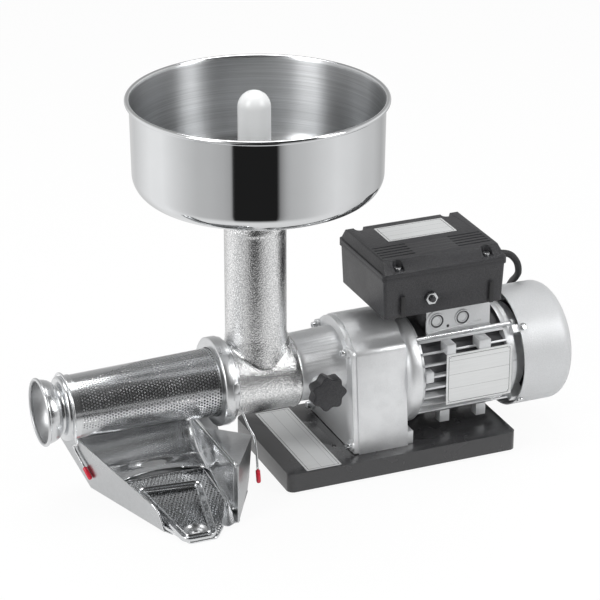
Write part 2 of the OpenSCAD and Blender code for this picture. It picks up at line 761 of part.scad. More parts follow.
module cord_gland() {
    at_origin() color("#1f1f20") difference() {
        union() {
            xcyl(gland_r, gland_x - 6, gland_x + 0.5, gland_h, gland_y, 64);
            xcyl(gland_r + 2.5, gland_x + 1.6, gland_x + 6, gland_h, gland_y, 64);
            translate([gland_x, gland_y, gland_h]) rotate([0, 90, 0])
                cylinder(h = gland_l, r1 = gland_r, r2 = cord_d / 2 + 0.9, $fn = 64);
        }
        xcyl(cord_d / 2 - 1, gland_x - 7, gland_x - 2, gland_h, gland_y, 48);
    }
}

module mains_cord() {
    at_origin() color("#29292b") sweep(cord_path, cord_d / 2, 10);
}

module cord_coil() {
    at_origin() color("#29292b") translate([coil_x, coil_y, 0]) rotate_extrude() translate([coil_r - cord_d, 0])
        square([2 * cord_d, 2 * cord_d]);
}

module mains_plug() {
    at_origin() color("#242426") {
        hull() {
            translate([plug_x, plug_y, cord_d]) rotate([0, 90, 0]) cylinder(h = 22.6, r = 8, $fn = 32);
            translate([plug_x - 22, plug_y - 12, 0.5]) cube([14, 24, 15]);
        }
    }
    at_origin() color("silver") for (s = [-1, 1]) translate([plug_x - 40, plug_y + s * 9.5, 8]) rotate([0, 90, 0])
        cylinder(h = 20, r = 2.2, $fn = 24);
}

// Feed body and screw

module feed_body() {
    br = barrel_d / 2;
    at_origin() color("#c3c5c7") difference() {
        union() {
            xcyl(br, barrel_face + 6, barrel_right, axis_h);
            xcyl(br - 1.5, barrel_face, barrel_face + 7, axis_h);
            xcyl(spigot_d / 2, barrel_right - 1, spigot_end, axis_h);
            translate([0, 0, axis_h]) cylinder(h = feed_rise, r = feed_d / 2);
            translate([0, 0, axis_h + 20]) cylinder(h = 34, r1 = feed_d / 2 + 2.5, r2 = feed_d / 2);
            translate([0, 0, feed_top - 9]) cylinder(h = 3, r = feed_d / 2 + 0.8);
            xcyl(br + 1.2, barrel_right - 4, barrel_right, axis_h);
        }
        xcyl(barrel_bore / 2, barrel_face - 1, barrel_right - 4, axis_h);
        xcyl(bush_r + 4, barrel_right - 5, spigot_end - 8, axis_h);
        xcyl(bush_r + 0.02, spigot_end - 9, spigot_end + 1, axis_h);
        translate([0, 0, axis_h]) cylinder(h = feed_rise + 1, r = feed_bore / 2);
        translate([0, 0, feed_top - 12]) cylinder(h = 13, r = collar_r + 0.1);
        along_y(-spigot_d, -spigot_d / 2 + 3.5) translate([knob_x, knob_h]) circle(stud_r, $fn = 32);
    }
}

bush_r = shank_d / 2 + 4;
collar_r = feed_bore / 2 + 2.4;

// Auger: core with a helical flight, tapered with its casing
function casing(x) = x > cone_start ? barrel_bore / 2
    : (cone_big / 2 - cone_t) + (cone_small - cone_big) / 2 * (cone_start - x) / (cone_end + cone_start);
function cone_r(x) = (cone_small + (cone_big - cone_small) * (x + cone_end) / (cone_end + cone_start)) / 2;
function flight_r(x) = casing(x) - flight_gap - (x > cone_start - 4 ? 0 : 0.6);
auger_tip = -cone_end + 14;
flight_end = barrel_right - 8;

// Core and helical flight as one closed surface: four flight points a step, then the core up to the next turn
module screw(steps) {
    q = core_d / 2;
    x0 = auger_tip + 2;
    x1 = flight_end - 2;
    m = floor((x1 - 2 - flight_t - x0) / flight_pitch * steps);
    start = [for (i = [0:steps - 1]) [x0 - 2, q * cos(360 * i / steps), axis_h + q * sin(360 * i / steps)]];
    body = [for (i = [0:m]) let (x = x0 + i / steps * flight_pitch, a = 360 * i / steps, r = min(flight_r(x), flight_r(x + flight_t)))
        for (v = [[q, 0], [r, flight_t * 0.25], [r, flight_t * 0.75], [q, flight_t]])
            [x + v[1], v[0] * cos(a), axis_h + v[0] * sin(a)]];
    finish = [for (i = [0:steps - 1]) let (a = 360 * (m + i) / steps) [x1, q * cos(a), axis_h + q * sin(a)]];
    f = 4 * m + 4 + steps;
    g = m - steps;
    function at(i, k) = steps + 4 * i + k;
    faces = concat(
        [[for (i = [steps - 1:-1:0]) i], [for (i = [0:steps - 1]) f + i]],
        [[for (k = [0:3]) at(0, k)], [for (k = [3:-1:0]) at(m, k)]],
        [for (i = [0:m - 1], k = [0:2]) [at(i, k), at(i + 1, k), at(i + 1, k + 1)]],
        [for (i = [0:m - 1], k = [0:2]) [at(i, k), at(i + 1, k + 1), at(i, k + 1)]],
        [for (i = [0:g - 1]) [at(i, 3), at(i + 1, 3), at(i + 1 + steps, 0), at(i + steps, 0)]],
        [for (i = [0:steps - 2]) [i, i + 1, at(i + 1, 0), at(i, 0)]],
        [for (e = [[steps - 1, 0], [0, at(0, 0)], [at(0, 0), at(0, 3)], [at(0, 3), at(steps, 0)]])
            [at(steps - 1, 0), e[0], e[1]]],
        [for (e = [[f + 1, f], [f, at(m, 3)], [at(m, 3), at(m, 0)], [at(m, 0), at(g, 3)]])
            [at(g + 1, 3), e[0], e[1]]],
        [for (i = [1:steps - 1]) [at(g + i, 3), at(g + i + 1, 3), f + (i + 1) % steps, f + i]]);
    polyhedron(concat(start, body, finish), [for (e = faces) [for (i = [len(e) - 1:-1:0]) e[i]]]);
}

module auger() {
    at_origin() color("#c6c8ca") difference() {
        union() {
            screw(20);
            xcone(core_d / 2 - 7, core_d / 2 - 1.5, auger_tip - 8, auger_tip + 1);
            xcyl(barrel_bore / 2 - 1, flight_end - 3, flight_end + 1, axis_h);
            xcyl(shank_d / 2, flight_end, spigot_end + 2, axis_h);
        }
        translate([spigot_end - 20, -drive_w / 2 - gap, axis_h - drive_w / 2 - gap])
            cube([40, drive_w + 2 * gap, drive_w + 2 * gap]);
    }
}

module auger_bush() {
    at_origin() color("#e4e4dd") difference() {
        union() {
            xcyl(bush_r, spigot_end - 9, spigot_end, axis_h);
            xcyl(bush_r + 3, spigot_end - 9.6, spigot_end - 8, axis_h);
        }
        xcyl(shank_d / 2 + run_fit, spigot_end - 11, spigot_end + 1, axis_h);
    }
}

// Filter

module filter_cone() {
    at_origin() color("#aeb0b2") difference() {
        union() {
            xcone(cone_small / 2, cone_big / 2, outlet_x, cone_start);
            xcyl(barrel_d / 2 - 2, cone_start, cone_start + 1.5, axis_h);
        }
        xcone(cone_small / 2 - cone_t, cone_big / 2 - cone_t, outlet_x - eps, cone_start + eps);
        xcyl(cone_big / 2 - cone_t, cone_start - eps, cone_start + 3, axis_h);
    }
}

module pulp_outlet() {
    n = neck_d / 2;
    r = outlet_d / 2;
    e = outlet_x;
    s = cone_small / 2 + 0.02;
    t = cone_t;
    // Outer and inner skin as [radius, x] from the sleeve to the rolled rim
    u = cone_r(e + 10) + 0.02;
    outer = concat([[u + t, e + 10], [s + t, e - 1]], arc_rx(s + t - 4, e - 1, 4, 0, 80, 5),
        [[n + t + 1, e - 5.4], [n + t, e - 7]],
        [for (i = [0:6]) [n + t + (r - n - 3) * sin(90 * i / 6), e - 8 - (outlet_l - 2) * (1 - cos(90 * i / 6))]]);
    inner = [for (i = [6:-1:0]) [n + (r - n - 3) * sin(90 * i / 6), e - 8 - (outlet_l - 2) * (1 - cos(90 * i / 6))]];
    at_origin() color("#b9bbbd") union() {
        xturn(concat(outer, inner, [[n, e - 7], [n + 1, e - 4.4]], arc_rx(s - 4, e - 1, 3.2, 80, 0, 5),
            [[s - 0.02, e - 0.5], [s, e], [u, e + 10]]));
        translate([outlet_end + outlet_rim, 0, axis_h]) rotate([0, 90, 0]) rotate_extrude()
            translate([r - outlet_rim, 0]) circle(outlet_rim, $fn = 24);
    }
}
function arc_rx(cr, cx, r, a, b, n) = [for (i = [0:n]) [cr + r * cos(a + (b - a) * i / n), cx - r * sin(a + (b - a) * i / n)]];

module clamp_ring() {
    r = ring_d / 2;
    at_origin() color("#bcbec0") difference() {
        union() {
            xturn([[0, ring_x], [r - 1.2, ring_x], [r, ring_x + 1.2], [r, ring_x + ring_w], [r - 1.5, ring_x + ring_w + 1],
                [r - 1.5, ring_back], [0, ring_back]]);
            intersection() {
                xcyl(r + 1.8, ring_x + ring_w - 3, ring_back, axis_h);
                translate([ring_x, -r - 5, axis_h - 2]) cube([30, 16, 18]);
            }
        }
        xcyl(cone_big / 2 + 0.6, ring_x - 1, cone_start, axis_h);
        xcyl(barrel_d / 2 - 1.5 + 0.1, cone_start - eps, barrel_face + 6, axis_h);
        xcyl(barrel_d / 2 + 0.2, barrel_face + 5.9, ring_back + 1, axis_h);
        translate([ring_x + ring_w + 2, -r - 3, axis_h + 7]) rotate([-90, 0, 0]) cylinder(h = 3, r = 1.7, $fn = 32);
    }
}

// Clamp screw in the gearbox neck

knob_x = 58;
knob_h = axis_h - 4;
stud_r = 5;
knob_d = 42;
knob_y = -socket_d / 2 - 34;

module clamp_stud() {
    at_origin() color("#8d8f92") along_y(knob_y + 8, -spigot_d / 2 + 3.2) translate([knob_x, knob_h]) circle(stud_r - 0.03, $fn = 32);
}

module clamp_knob() {
    lobes = 7;
    pts = [for (i = [0:lobes * 8 - 1]) let (a = 360 * i / (lobes * 8))
        (knob_d / 2 - 2 + 2 * cos(a * lobes)) * [cos(a), sin(a)]];
    at_origin() color("#1f2022") difference() {
        union() {
            along_y(knob_y, knob_y + 14) translate([knob_x, knob_h]) polygon(pts);
            along_y(knob_y - 1.5, knob_y + eps) translate([knob_x, knob_h]) polygon(pts * 0.93);
            along_y(knob_y + 13, -socket_d / 2 - 9.4) translate([knob_x, knob_h]) circle(9, $fn = 48);
        }
        along_y(knob_y + 8, 0) translate([knob_x, knob_h]) circle(stud_r, $fn = 32);
    }
}

// Hopper and pestle

module hopper() {
    r = hopper_d / 2 - bead_d * 0.85;
    low = r - 1.2;
    k = hopper_round;
    c = collar_r;
    outer = concat([[c, hopper_base - collar_rise - 12], [c, hopper_base]],
        [for (i = [0:6]) let (a = -90 + 90 * i / 6) [low - k + k * cos(a), hopper_base + k + k * sin(a)]],
        [[r, hopper_top - bead_d / 2]]);
    inner = concat([[r - hopper_t, hopper_top - bead_d / 2]],
        [for (i = [6:-1:0]) let (a = -90 + 90 * i / 6, q = k - hopper_t)
            [low - k + q * cos(a), hopper_base + k + q * sin(a)]],
        [[c - hopper_t + 1, hopper_base + hopper_t], [c - hopper_t, hopper_base - 1],
            [c - hopper_t, hopper_base - collar_rise - 12]]);
    at_origin() color("#b2b4b6") translate([hopper_shift_at, 0, 0]) {
        translate([0, 0, 0]) difference() {
            rotate_extrude() polygon(concat(outer, inner));
            translate([-hopper_shift_at, 0, hopper_base - collar_rise - 13]) cylinder(h = collar_rise + 12, r = 200);
        }
        translate([0, 0, hopper_top - bead_d / 2]) rotate_extrude()
            translate([hopper_d / 2 - bead_d / 2, 0]) circle(bead_d / 2, $fn = 24);
    }
    at_origin() color("#b2b4b6") translate([0, 0, feed_top - 12]) difference() {
        cylinder(h = collar_rise + 12 + hopper_t, r = c);
        translate([0, 0, -1]) cylinder(h = collar_rise + 20, r = c - hopper_t);
    }
    at_origin() color("#b2b4b6") translate([0, 0, feed_top]) difference() {
        cylinder(h = 2, r = feed_d / 2 + 0.4);
        translate([0, 0, -1]) cylinder(h = 4, r = c - 0.5);
    }
}
hopper_shift_at = hopper_shift;

module pestle() {
    r = pestle_d / 2;
    z0 = axis_h + barrel_bore / 2 - flight_gap + 0.2;
    at_origin() color("#eceeee") {
        translate([0, 0, z0]) cylinder(h = pestle_l - r + 2, r1 = r + 0.8, r2 = r - 0.4);
        translate([0, 0, z0 + pestle_l - r + 2]) sphere(r = r - 0.4, $fn = 64);
    }
}

// Chute: guard with its side panels, polished deflector and strainer

chute_break = -3;
chute_low = foot_drop + 12;
chute_front = -117;
chute_back = 46;
back_rise = 1.074;
floor_fall = 0.125;
panel_lean = -0.46;
skirt_lean = 0.59;
wall_x = -66;
wall_top = foot_drop + 63;

// Height of the guard's sheet at depth y: a steep back, then a gently falling floor
function chute_h(y) = chute_low + (y - chute_break) * (y > chute_break ? back_rise : floor_fall);
function left_x(y) = -199.4 + panel_lean * y;
function right_x(y) = wall_x + skirt_lean * (y + 111);

// Upright panel on the line x = foot + lean * y, its outline given as [y, z], from side t0 to side t1
module upright(foot, lean, points, t0, t1) {
    translate([foot, 0, 0]) rotate([0, 0, -atan(lean)]) along_x(t0, t1)
        polygon([for (p = points) [p[0] * sqrt(1 + lean * lean), p[1]]]);
}

// Slanted band in the Y-Z plane: a sheet whose underside follows the given [y, z] points
module sheet_profile(low, x0, x1) {
    along_x(x0, x1) polygon(concat(low, [for (i = [len(low) - 1:-1:0]) low[i] + [0, sheet_t]]));
}

// Plan between the left panel and the right side, drawn in by inset
module chute_plan(inset, right) {
    linear_extrude(300) polygon(concat([[left_x(60) + inset, 60], [left_x(-107) + inset, -107],
        [left_x(-107) + inset + 6, chute_front + 2], [right_x(chute_front) - inset, chute_front]],
        [for (p = right) p - [inset, 0]]));
}

module splash_guard() {
    back = [for (y = [chute_back, 4]) [y, chute_h(y)]];
    bend = [[0, chute_h(0) + 0.3], [-5, chute_h(-5) + 0.3]];
    flat = [for (y = [-10, chute_front]) [y, chute_h(y)]];
    at_origin() color("#9b9da0") difference() {
        union() {
            intersection() {
                sheet_profile(concat(back, bend, flat), -250, 0);
                chute_plan(-0.6, [[-38, -66], [-38, 60]]);
            }
            upright(-199.4, panel_lean, [[chute_back, 83], [19, 69.6], [-60, 39.6], [-93, 27], [-98, 23],
                [-101, 17], [-107, chute_h(-107)], [-10, chute_h(-10)], [chute_break, chute_low],
                [chute_back, chute_h(chute_back)]], -sheet_t, 0);
            upright(wall_x + skirt_lean * 111, skirt_lean, [[-111, wall_top + 1], [-33, wall_top - 7], [-53, 17],
                [-66, 7], [-72, 6], [chute_front, chute_h(chute_front)]], 0, sheet_t);
            along_x(wall_x - sheet_t, wall_x) polygon([[24, wall_top - 4], [-110, wall_top],
                [chute_front + 2, chute_h(chute_front)], [-10, chute_h(-10)], [chute_break, chute_low],
                [24, chute_h(24)]]);
            along_y(-109, 20) translate([wall_x - 3, wall_top - 2.6]) square([3.6, 3]);
            plate([[wall_x - 0.5, -7, wall_top - 1.5], [wall_x - 0.5, -110.5, wall_top - 1.5],
                [right_x(-33) + 0.6, -33, wall_top - 8.2]], [0, 0, sheet_t]);
        }
        xcyl(ring_d / 2 + 4, ring_x - 4, 10, axis_h);
    }
}

module juice_tray() {
    lift = sheet_t + 0.4;
    lip = foot_drop + 16;
    back = [for (y = [44, 12]) [y, chute_h(y) + lift]];
    nose = [[7, lip + 9], [2, lip + 5], [-3, lip + 3], [-9, lip + 1.5]];
    at_origin() color("#a6a8ab") difference() {
        intersection() {
            sheet_profile(concat(back, nose), -250, 0);
            chute_plan(1.2, [[wall_x, -60], [wall_x, 60]]);
        }
        xcyl(ring_d / 2 + 4, ring_x - 4, 10, axis_h);
    }
}

// Strainer: a perforated floor carrying a beaded frame, with a round drain dish at its mouth
strain_fall = 0.105;
strain_zero = foot_drop + 14.2;
function strain_h(y) = strain_zero + strain_fall * y;
strain_plan = [[left_x(-9) + 2, -9], [wall_x - 2.5, -9], [wall_x - 2.5, -79], [-90, -125], [-103, -143],
    [-139, -143], [-141, -125], [left_x(-106) + 2, -106]];
frame_plan = [[-157, -31], [-83, -38], [-103, -141], [-139, -141]];
frame_hole = [[-149, -39], [-90, -44], [-107, -134], [-134, -134]];
drain = [-121, -121];

module strainer_tray() {
    at_origin() color("#a0a2a5") translate([0, 0, strain_zero]) rotate([atan(strain_fall), 0, 0]) difference() {
        union() {
            linear_extrude(sheet_t) polygon(strain_plan);
            linear_extrude(rim_h) difference() {
                polygon(frame_plan);
                polygon(frame_hole);
            }
            translate(drain) cylinder(h = 3.6, r = 11, $fn = 48);
        }
        translate([drain[0], drain[1], 2]) cylinder(h = 4, r = 9.5, $fn = 48);
    }
}

// Spring-wire clips over the cone's end and over the barrel
left_hoop = cone_small / 2 + 2 * cone_t + wire_d / 2 + 0.35;
right_hoop = barrel_d / 2 + wire_d / 2 + 0.75;

function hoop(x, r, a, b, n) = [for (i = [0:n]) let (t = a + (b - a) * i / n) [x, r * cos(t), axis_h + r * sin(t)]];

left_wire = concat([[-220, 30, 74], [-224, 36, 94]], hoop(-225, left_hoop, -20, 196, 12),
    [[-224, -35, 94], [-219, -24, 82], [-215, 0, 69], [-211.2, 15.5, 59], [-204.1, -0.1, 38.6]]);
right_wire = concat([[-37, 40, 84], [-37.4, 43, 98]], hoop(ring_back + 1.9, right_hoop, -10, 190, 12),
    [[-36, -46, 100], [-32, -56, 82], [-28, -62, 72], [-27, -66, 58], [-27.6, -72, 34.5]]);

module left_clip() {
    at_origin() color("#c5c7c9") sweep(left_wire, wire_d / 2, 8);
}

module right_clip() {
    at_origin() color("#c5c7c9") sweep(right_wire, wire_d / 2, 8);
}

tip_l = 15;
tip_r = 2.6;

module tip(p, q) {
    d = (q - p) / norm(q - p);
    sweep([q, q + d * tip_l], tip_r, 12);
}

module left_tip() {
    n = len(left_wire);
    at_origin() color("#d8262e") tip(left_wire[n - 2], left_wire[n - 1]);
}

module right_tip() {
    n = len(right_wire);
    at_origin() color("#d8262e") tip(right_wire[n - 2], right_wire[n - 1]);
}

base_plate();
rubber_feet();
foot_screws();
base_label();
gearbox_housing();
gearbox_cover();
cover_screws();
housing_bolts();
output_gear();
output_shaft();
output_bearing();
rear_bush();
lay_shaft();
lay_wheel();
lay_bushes();
motor_pinion();
motor_shield();
motor_frame();
stator();
rotor();
motor_bearings();
rear_shield();
fan();
fan_cowl();
cowl_screws();
tie_rods();
nameplate();
electrical_box();
box_lid();
lid_screws();
box_label();
capacitor();
button_nut();
reset_button();
cord_gland();
mains_cord();
cord_coil();
mains_plug();
feed_body();
auger();
auger_bush();
filter_cone();
pulp_outlet();
clamp_ring();
clamp_knob();
clamp_stud();
hopper();
pestle();
splash_guard();
juice_tray();
strainer_tray();
left_clip();
right_clip();
left_tip();
right_tip();
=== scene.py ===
"""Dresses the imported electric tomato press: camera, studio, finishes, and the sheet, wire and cord pieces."""

import json
import math

import bmesh
import bpy
import numpy as np
from bpy.props import FloatProperty, FloatVectorProperty, PointerProperty
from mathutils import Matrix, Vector

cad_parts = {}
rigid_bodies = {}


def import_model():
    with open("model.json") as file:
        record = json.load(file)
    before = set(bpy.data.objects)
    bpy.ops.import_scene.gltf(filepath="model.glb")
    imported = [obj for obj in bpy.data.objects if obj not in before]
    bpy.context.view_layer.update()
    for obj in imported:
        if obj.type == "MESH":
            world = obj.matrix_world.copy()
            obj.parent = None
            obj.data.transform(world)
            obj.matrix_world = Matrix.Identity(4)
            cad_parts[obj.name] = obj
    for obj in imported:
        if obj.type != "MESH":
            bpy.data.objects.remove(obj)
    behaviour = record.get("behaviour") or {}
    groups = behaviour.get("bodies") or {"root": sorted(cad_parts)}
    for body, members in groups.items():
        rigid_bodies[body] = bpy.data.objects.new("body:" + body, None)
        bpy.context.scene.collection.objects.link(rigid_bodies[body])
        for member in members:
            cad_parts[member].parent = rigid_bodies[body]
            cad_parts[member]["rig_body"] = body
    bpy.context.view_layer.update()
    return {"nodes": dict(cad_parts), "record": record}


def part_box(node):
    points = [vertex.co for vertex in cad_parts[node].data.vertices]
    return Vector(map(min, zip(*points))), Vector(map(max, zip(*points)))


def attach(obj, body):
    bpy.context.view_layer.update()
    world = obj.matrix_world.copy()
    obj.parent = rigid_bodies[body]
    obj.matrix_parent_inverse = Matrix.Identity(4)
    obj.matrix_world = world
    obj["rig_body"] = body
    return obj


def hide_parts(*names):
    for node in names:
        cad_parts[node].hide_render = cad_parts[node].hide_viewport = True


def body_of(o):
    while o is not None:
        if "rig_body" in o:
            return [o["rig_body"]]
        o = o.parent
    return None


bl_info = {
    "name": "Tomato Press Dresser",
    "version": (1, 0, 0),
    "blender": (4, 5, 0),
    "location": "3D View > Sidebar > Tomato Press",
    "description": "Builds the finishes and the sheet, wire and cord pieces of an electric tomato press",
    "category": "Object",
}

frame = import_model()
MM = 0.001


def middle(node):
    """Middle of a CAD node's box, in metres."""
    low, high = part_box(node)
    return (low + high) / 2


FEED_X = middle("pestle").x
AXIS_Z = middle("output_gear").z
MOTOR_Z = middle("fan_cowl").z


def spot(x, y, z):
    """Point in metres from millimetres measured from the feed tube's axis and the standing surface."""
    return Vector((FEED_X + x * MM, y * MM, z * MM))


# Small mesh makers


def new_piece(name, verts, faces, smooth=True):
    """Object at the origin with its place in its mesh."""
    mesh = bpy.data.meshes.new(name)
    mesh.from_pydata([tuple(v) for v in verts], [], faces)
    mesh.validate()
    mesh.polygons.foreach_set("use_smooth", [smooth] * len(mesh.polygons))
    piece = bpy.data.objects.new(name, mesh)
    bpy.context.scene.collection.objects.link(piece)
    return piece


def turned(name, profile, start, axis, steps=160, closed=False):
    """Surface turned about a line through start, from profile points (radius, distance along the axis)."""
    axis = Vector(axis).normalized()
    side = axis.orthogonal().normalized()
    other = axis.cross(side)
    verts, faces = [], []
    for i in range(steps):
        turn = 2 * math.pi * i / steps
        out = side * math.cos(turn) + other * math.sin(turn)
        verts += [Vector(start) + axis * along + out * radius for radius, along in profile]
    count = len(profile)
    for i in range(steps):
        a, b = i * count, (i + 1) % steps * count
        for k in range(count if closed else count - 1):
            n = (k + 1) % count
            faces.append((a + k, b + k, b + n, a + n))
    piece = new_piece(name, verts, faces)
    tidy_mesh(piece, 1e-6)
    return piece


def tidy_mesh(piece, distance=1e-6):
    """Merges doubles and points every face outwards."""
    work = bmesh.new()
    work.from_mesh(piece.data)
    bmesh.ops.remove_doubles(work, verts=work.verts, dist=distance)
    bmesh.ops.dissolve_degenerate(work, edges=work.edges, dist=distance)
    bmesh.ops.recalc_face_normals(work, faces=work.faces)
    work.to_mesh(piece.data)
    work.free()


def rounded(points, steps=8, closed=False):
    """Smooth path through points, as Catmull-Rom pieces."""
    points = [Vector(p) for p in points]
    count = len(points)
    spans = count if closed else count - 1
    path = []
    for i in range(spans):
        if closed:
            a, b, c, d = (points[(i + k) % count] for k in (-1, 0, 1, 2))
        else:
            a, b = points[max(i - 1, 0)], points[i]
            c, d = points[i + 1], points[min(i + 2, count - 1)]
        for k in range(steps):
            t = k / steps
            path.append(0.5 * (2 * b + (c - a) * t + (2 * a - 5 * b + 4 * c - d) * t * t
                               + (3 * b - a - 3 * c + d) * t ** 3))
    return path if closed else path + [points[-1]]


def tube(name, path, radius, sides=12, closed=False):
    """Round bar along a path, its ring carried without twist; radius is a number or a list."""
    path = [Vector(p) for p in path]
    count = len(path)
    radii = radius if isinstance(radius, list) else [radius] * count
    verts, faces = [], []
    side = (path[1] - path[0]).orthogonal().normalized()
    for i, point in enumerate(path):
        if closed:
            along = (path[(i + 1) % count] - path[i - 1]).normalized()
        else:
            along = (path[min(i + 1, count - 1)] - path[max(i - 1, 0)]).normalized()
        side = (side - along * side.dot(along)).normalized()
        other = along.cross(side)
        for k in range(sides):
            turn = 2 * math.pi * k / sides
            verts.append(point + (side * math.cos(turn) + other * math.sin(turn)) * radii[i])
    for i in range(count if closed else count - 1):
        a, b = i * sides, (i + 1) % count * sides
        for k in range(sides):
            n = (k + 1) % sides
            faces.append((a + k, a + n, b + n, b + k))
    if not closed:
        faces.append(tuple(reversed(range(sides))))
        faces.append(tuple((count - 1) * sides + k for k in range(sides)))
    piece = new_piece(name, verts, faces)
    tidy_mesh(piece)
    return piece


def grid_sheet(name, rows, thickness):
    """Sheet metal from rows of points, given its thickness on the side away from its normal."""
    across = len(rows[0])
    verts = [p for row in rows for p in row]
    faces = []
    for i in range(len(rows) - 1):
        for k in range(across - 1):
            a = i * across + k
            faces.append((a, a + 1, a + across + 1, a + across))
    piece = new_piece(name, verts, faces)
    solid = piece.modifiers.new("Sheet", "SOLIDIFY")
    solid.thickness = thickness
    solid.offset = -1
    apply_modifiers(piece)
    sharp_edges(piece, 40)
    return piece


def apply_modifiers(piece):
    """Puts the evaluated mesh in the piece and drops its modifiers."""
    graph = bpy.context.evaluated_depsgraph_get()
    bpy.context.view_layer.update()
    made = bpy.data.meshes.new_from_object(piece.evaluated_get(graph), depsgraph=graph)
    piece.modifiers.clear()
    old = piece.data
    piece.data = made
    bpy.data.meshes.remove(old)
    made.name = piece.name


def sharp_edges(piece, degrees):
    """Smooth shading with edges over the angle kept crisp."""
    mesh = piece.data
    mesh.polygons.foreach_set("use_smooth", [True] * len(mesh.polygons))
    mesh.set_sharp_from_angle(angle=math.radians(degrees))


def finish_piece(piece, material, body, slot, *nodes):
    """Gives a piece its finish and its body, and hides the CAD nodes that it stands for. Its slot is not used."""
    piece.data.materials.clear()
    piece.data.materials.append(bpy.data.materials[material])
    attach(piece, body)
    if nodes:
        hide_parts(*nodes)
    return piece


def record_slot(node):
    """Name of the record's material slot of a CAD node."""
    return next(p["material_slot"] for p in frame["record"]["subparts"] if p["node"] == node)


def merged_copy(node, name, degrees=32, bevel=0.0, steps=2):
    """Copy of a CAD node with its triangles joined, smooth shading and a small bevel along its sharp edges."""
    source = frame["nodes"][node]
    mesh = source.data.copy()
    mesh.name = name
    mesh.materials.clear()
    for layer in [a.name for a in mesh.attributes if a.name in ("custom_normal",)]:
        mesh.attributes.remove(mesh.attributes[layer])
    work = bmesh.new()
    work.from_mesh(mesh)
    bmesh.ops.remove_doubles(work, verts=work.verts, dist=2e-6)
    bmesh.ops.dissolve_limit(work, angle_limit=math.radians(0.6), verts=work.verts, edges=work.edges)
    work.to_mesh(mesh)
    work.free()
    piece = bpy.data.objects.new(name, mesh)
    bpy.context.scene.collection.objects.link(piece)
    if bevel:
        edge = piece.modifiers.new("Edge", "BEVEL")
        edge.width = bevel
        edge.segments = steps
        edge.limit_method = "ANGLE"
        edge.angle_limit = math.radians(degrees)
        edge.use_clamp_overlap = True
        apply_modifiers(piece)
    sharp_edges(piece, degrees)
    return piece


def dress(node, material, degrees=32, bevel=0.0, steps=2):
    """Stands a merged copy of a CAD node in its place, on the same body."""
    piece = merged_copy(node, node + "_shell", degrees, bevel, steps)
    return finish_piece(piece, material, body_of(frame["nodes"][node])[0], record_slot(node), node)


# Sizes and colours that a user would change


class PressStage(bpy.types.PropertyGroup):
    key_power: FloatProperty(name="Key power", description="Power of the large lamp at the upper left", default=26.0)
    top_power: FloatProperty(name="Top power", description="Power of the lamp overhead", default=20.0)
    fill_power: FloatProperty(name="Fill power", description="Power of the lamp at the right", default=20.0)
    sky: FloatProperty(name="Sky", description="Light of the room on matt surfaces", default=0.42)
    floor: FloatVectorProperty(name="Floor", description="Colour of the floor", subtype="COLOR", size=3,
                               default=(0.94, 0.94, 0.94))


class PressFinish(bpy.types.PropertyGroup):
    tin: FloatVectorProperty(name="Tinned casting", description="Colour of the feed casting's tin skin",
                             subtype="COLOR", size=3, default=(0.84, 0.85, 0.86))
    die_cast: FloatVectorProperty(name="Die casting", description="Colour of the gearbox and motor castings",
                                  subtype="COLOR", size=3, default=(0.76, 0.77, 0.78))
    steel: FloatVectorProperty(name="Sheet steel", description="Colour of the stainless sheets",
                               subtype="COLOR", size=3, default=(0.72, 0.73, 0.74))
    paint: FloatVectorProperty(name="Motor paint", description="Colour of the motor's frame",
                               subtype="COLOR", size=3, default=(0.66, 0.67, 0.68))
    cowl: FloatVectorProperty(name="Cowl paint", description="Colour of the fan cowl", subtype="COLOR", size=3,
                              default=(0.64, 0.65, 0.66))
    black: FloatVectorProperty(name="Black plastic", description="Colour of the box and the knob",
                               subtype="COLOR", size=3, default=(0.028, 0.028, 0.031))
    powder: FloatVectorProperty(name="Powder coat", description="Colour of the base tray",
                                subtype="COLOR", size=3, default=(0.034, 0.034, 0.036))
    white: FloatVectorProperty(name="White plastic", description="Colour of the pestle",
                               subtype="COLOR", size=3, default=(0.86, 0.87, 0.87))
    red: FloatVectorProperty(name="Red sleeve", description="Colour of the clips' sleeves",
                             subtype="COLOR", size=3, default=(0.72, 0.015, 0.045))


class PressSizes(bpy.types.PropertyGroup):
    hole_pitch: FloatProperty(name="Hole pitch", description="Distance between the cone's holes", default=0.0037,
                              unit="LENGTH")
    hole_share: FloatProperty(name="Hole share", description="Width of a hole against its cell", default=0.6,
                              min=0.2, max=0.8)
    sheet: FloatProperty(name="Sheet", description="Thickness of the sheet metal", default=0.0012, unit="LENGTH")
    wire: FloatProperty(name="Wire", description="Diameter of the clips' wire", default=0.0026, unit="LENGTH")


# Node helpers


def put(tree, kind, settings=None, **inputs):
    """Adds a node; an input given as a socket is linked, and any other value is written on it."""
    node = tree.nodes.new(kind)
    for key, value in (settings or {}).items():
        setattr(node, key, value)
    for key, value in inputs.items():
        socket = node.inputs[int(key[1:])] if key[0] == "_" else node.inputs[key.replace("_", " ")]
        if isinstance(value, bpy.types.NodeSocket):
            tree.links.new(value, socket)
        else:
            socket.default_value = value
    return node


def maths(tree, operation, a, b=0.0, clamp=False):
    return put(tree, "ShaderNodeMath", {"operation": operation, "use_clamp": clamp}, _0=a, _1=b).outputs[0]


def spread(tree, value, low, high, to_low=0.0, to_high=1.0):
    """Maps a value's range to another, held at its ends."""
    return put(tree, "ShaderNodeMapRange", {"clamp": True}, _0=value, _1=low, _2=high, _3=to_low,
               _4=to_high).outputs[0]


def noise(tree, vector, scale, detail=2.0, roughness=0.5):
    return put(tree, "ShaderNodeTexNoise", Vector=vector, Scale=scale, Detail=detail,
               Roughness=roughness).outputs["Fac"]


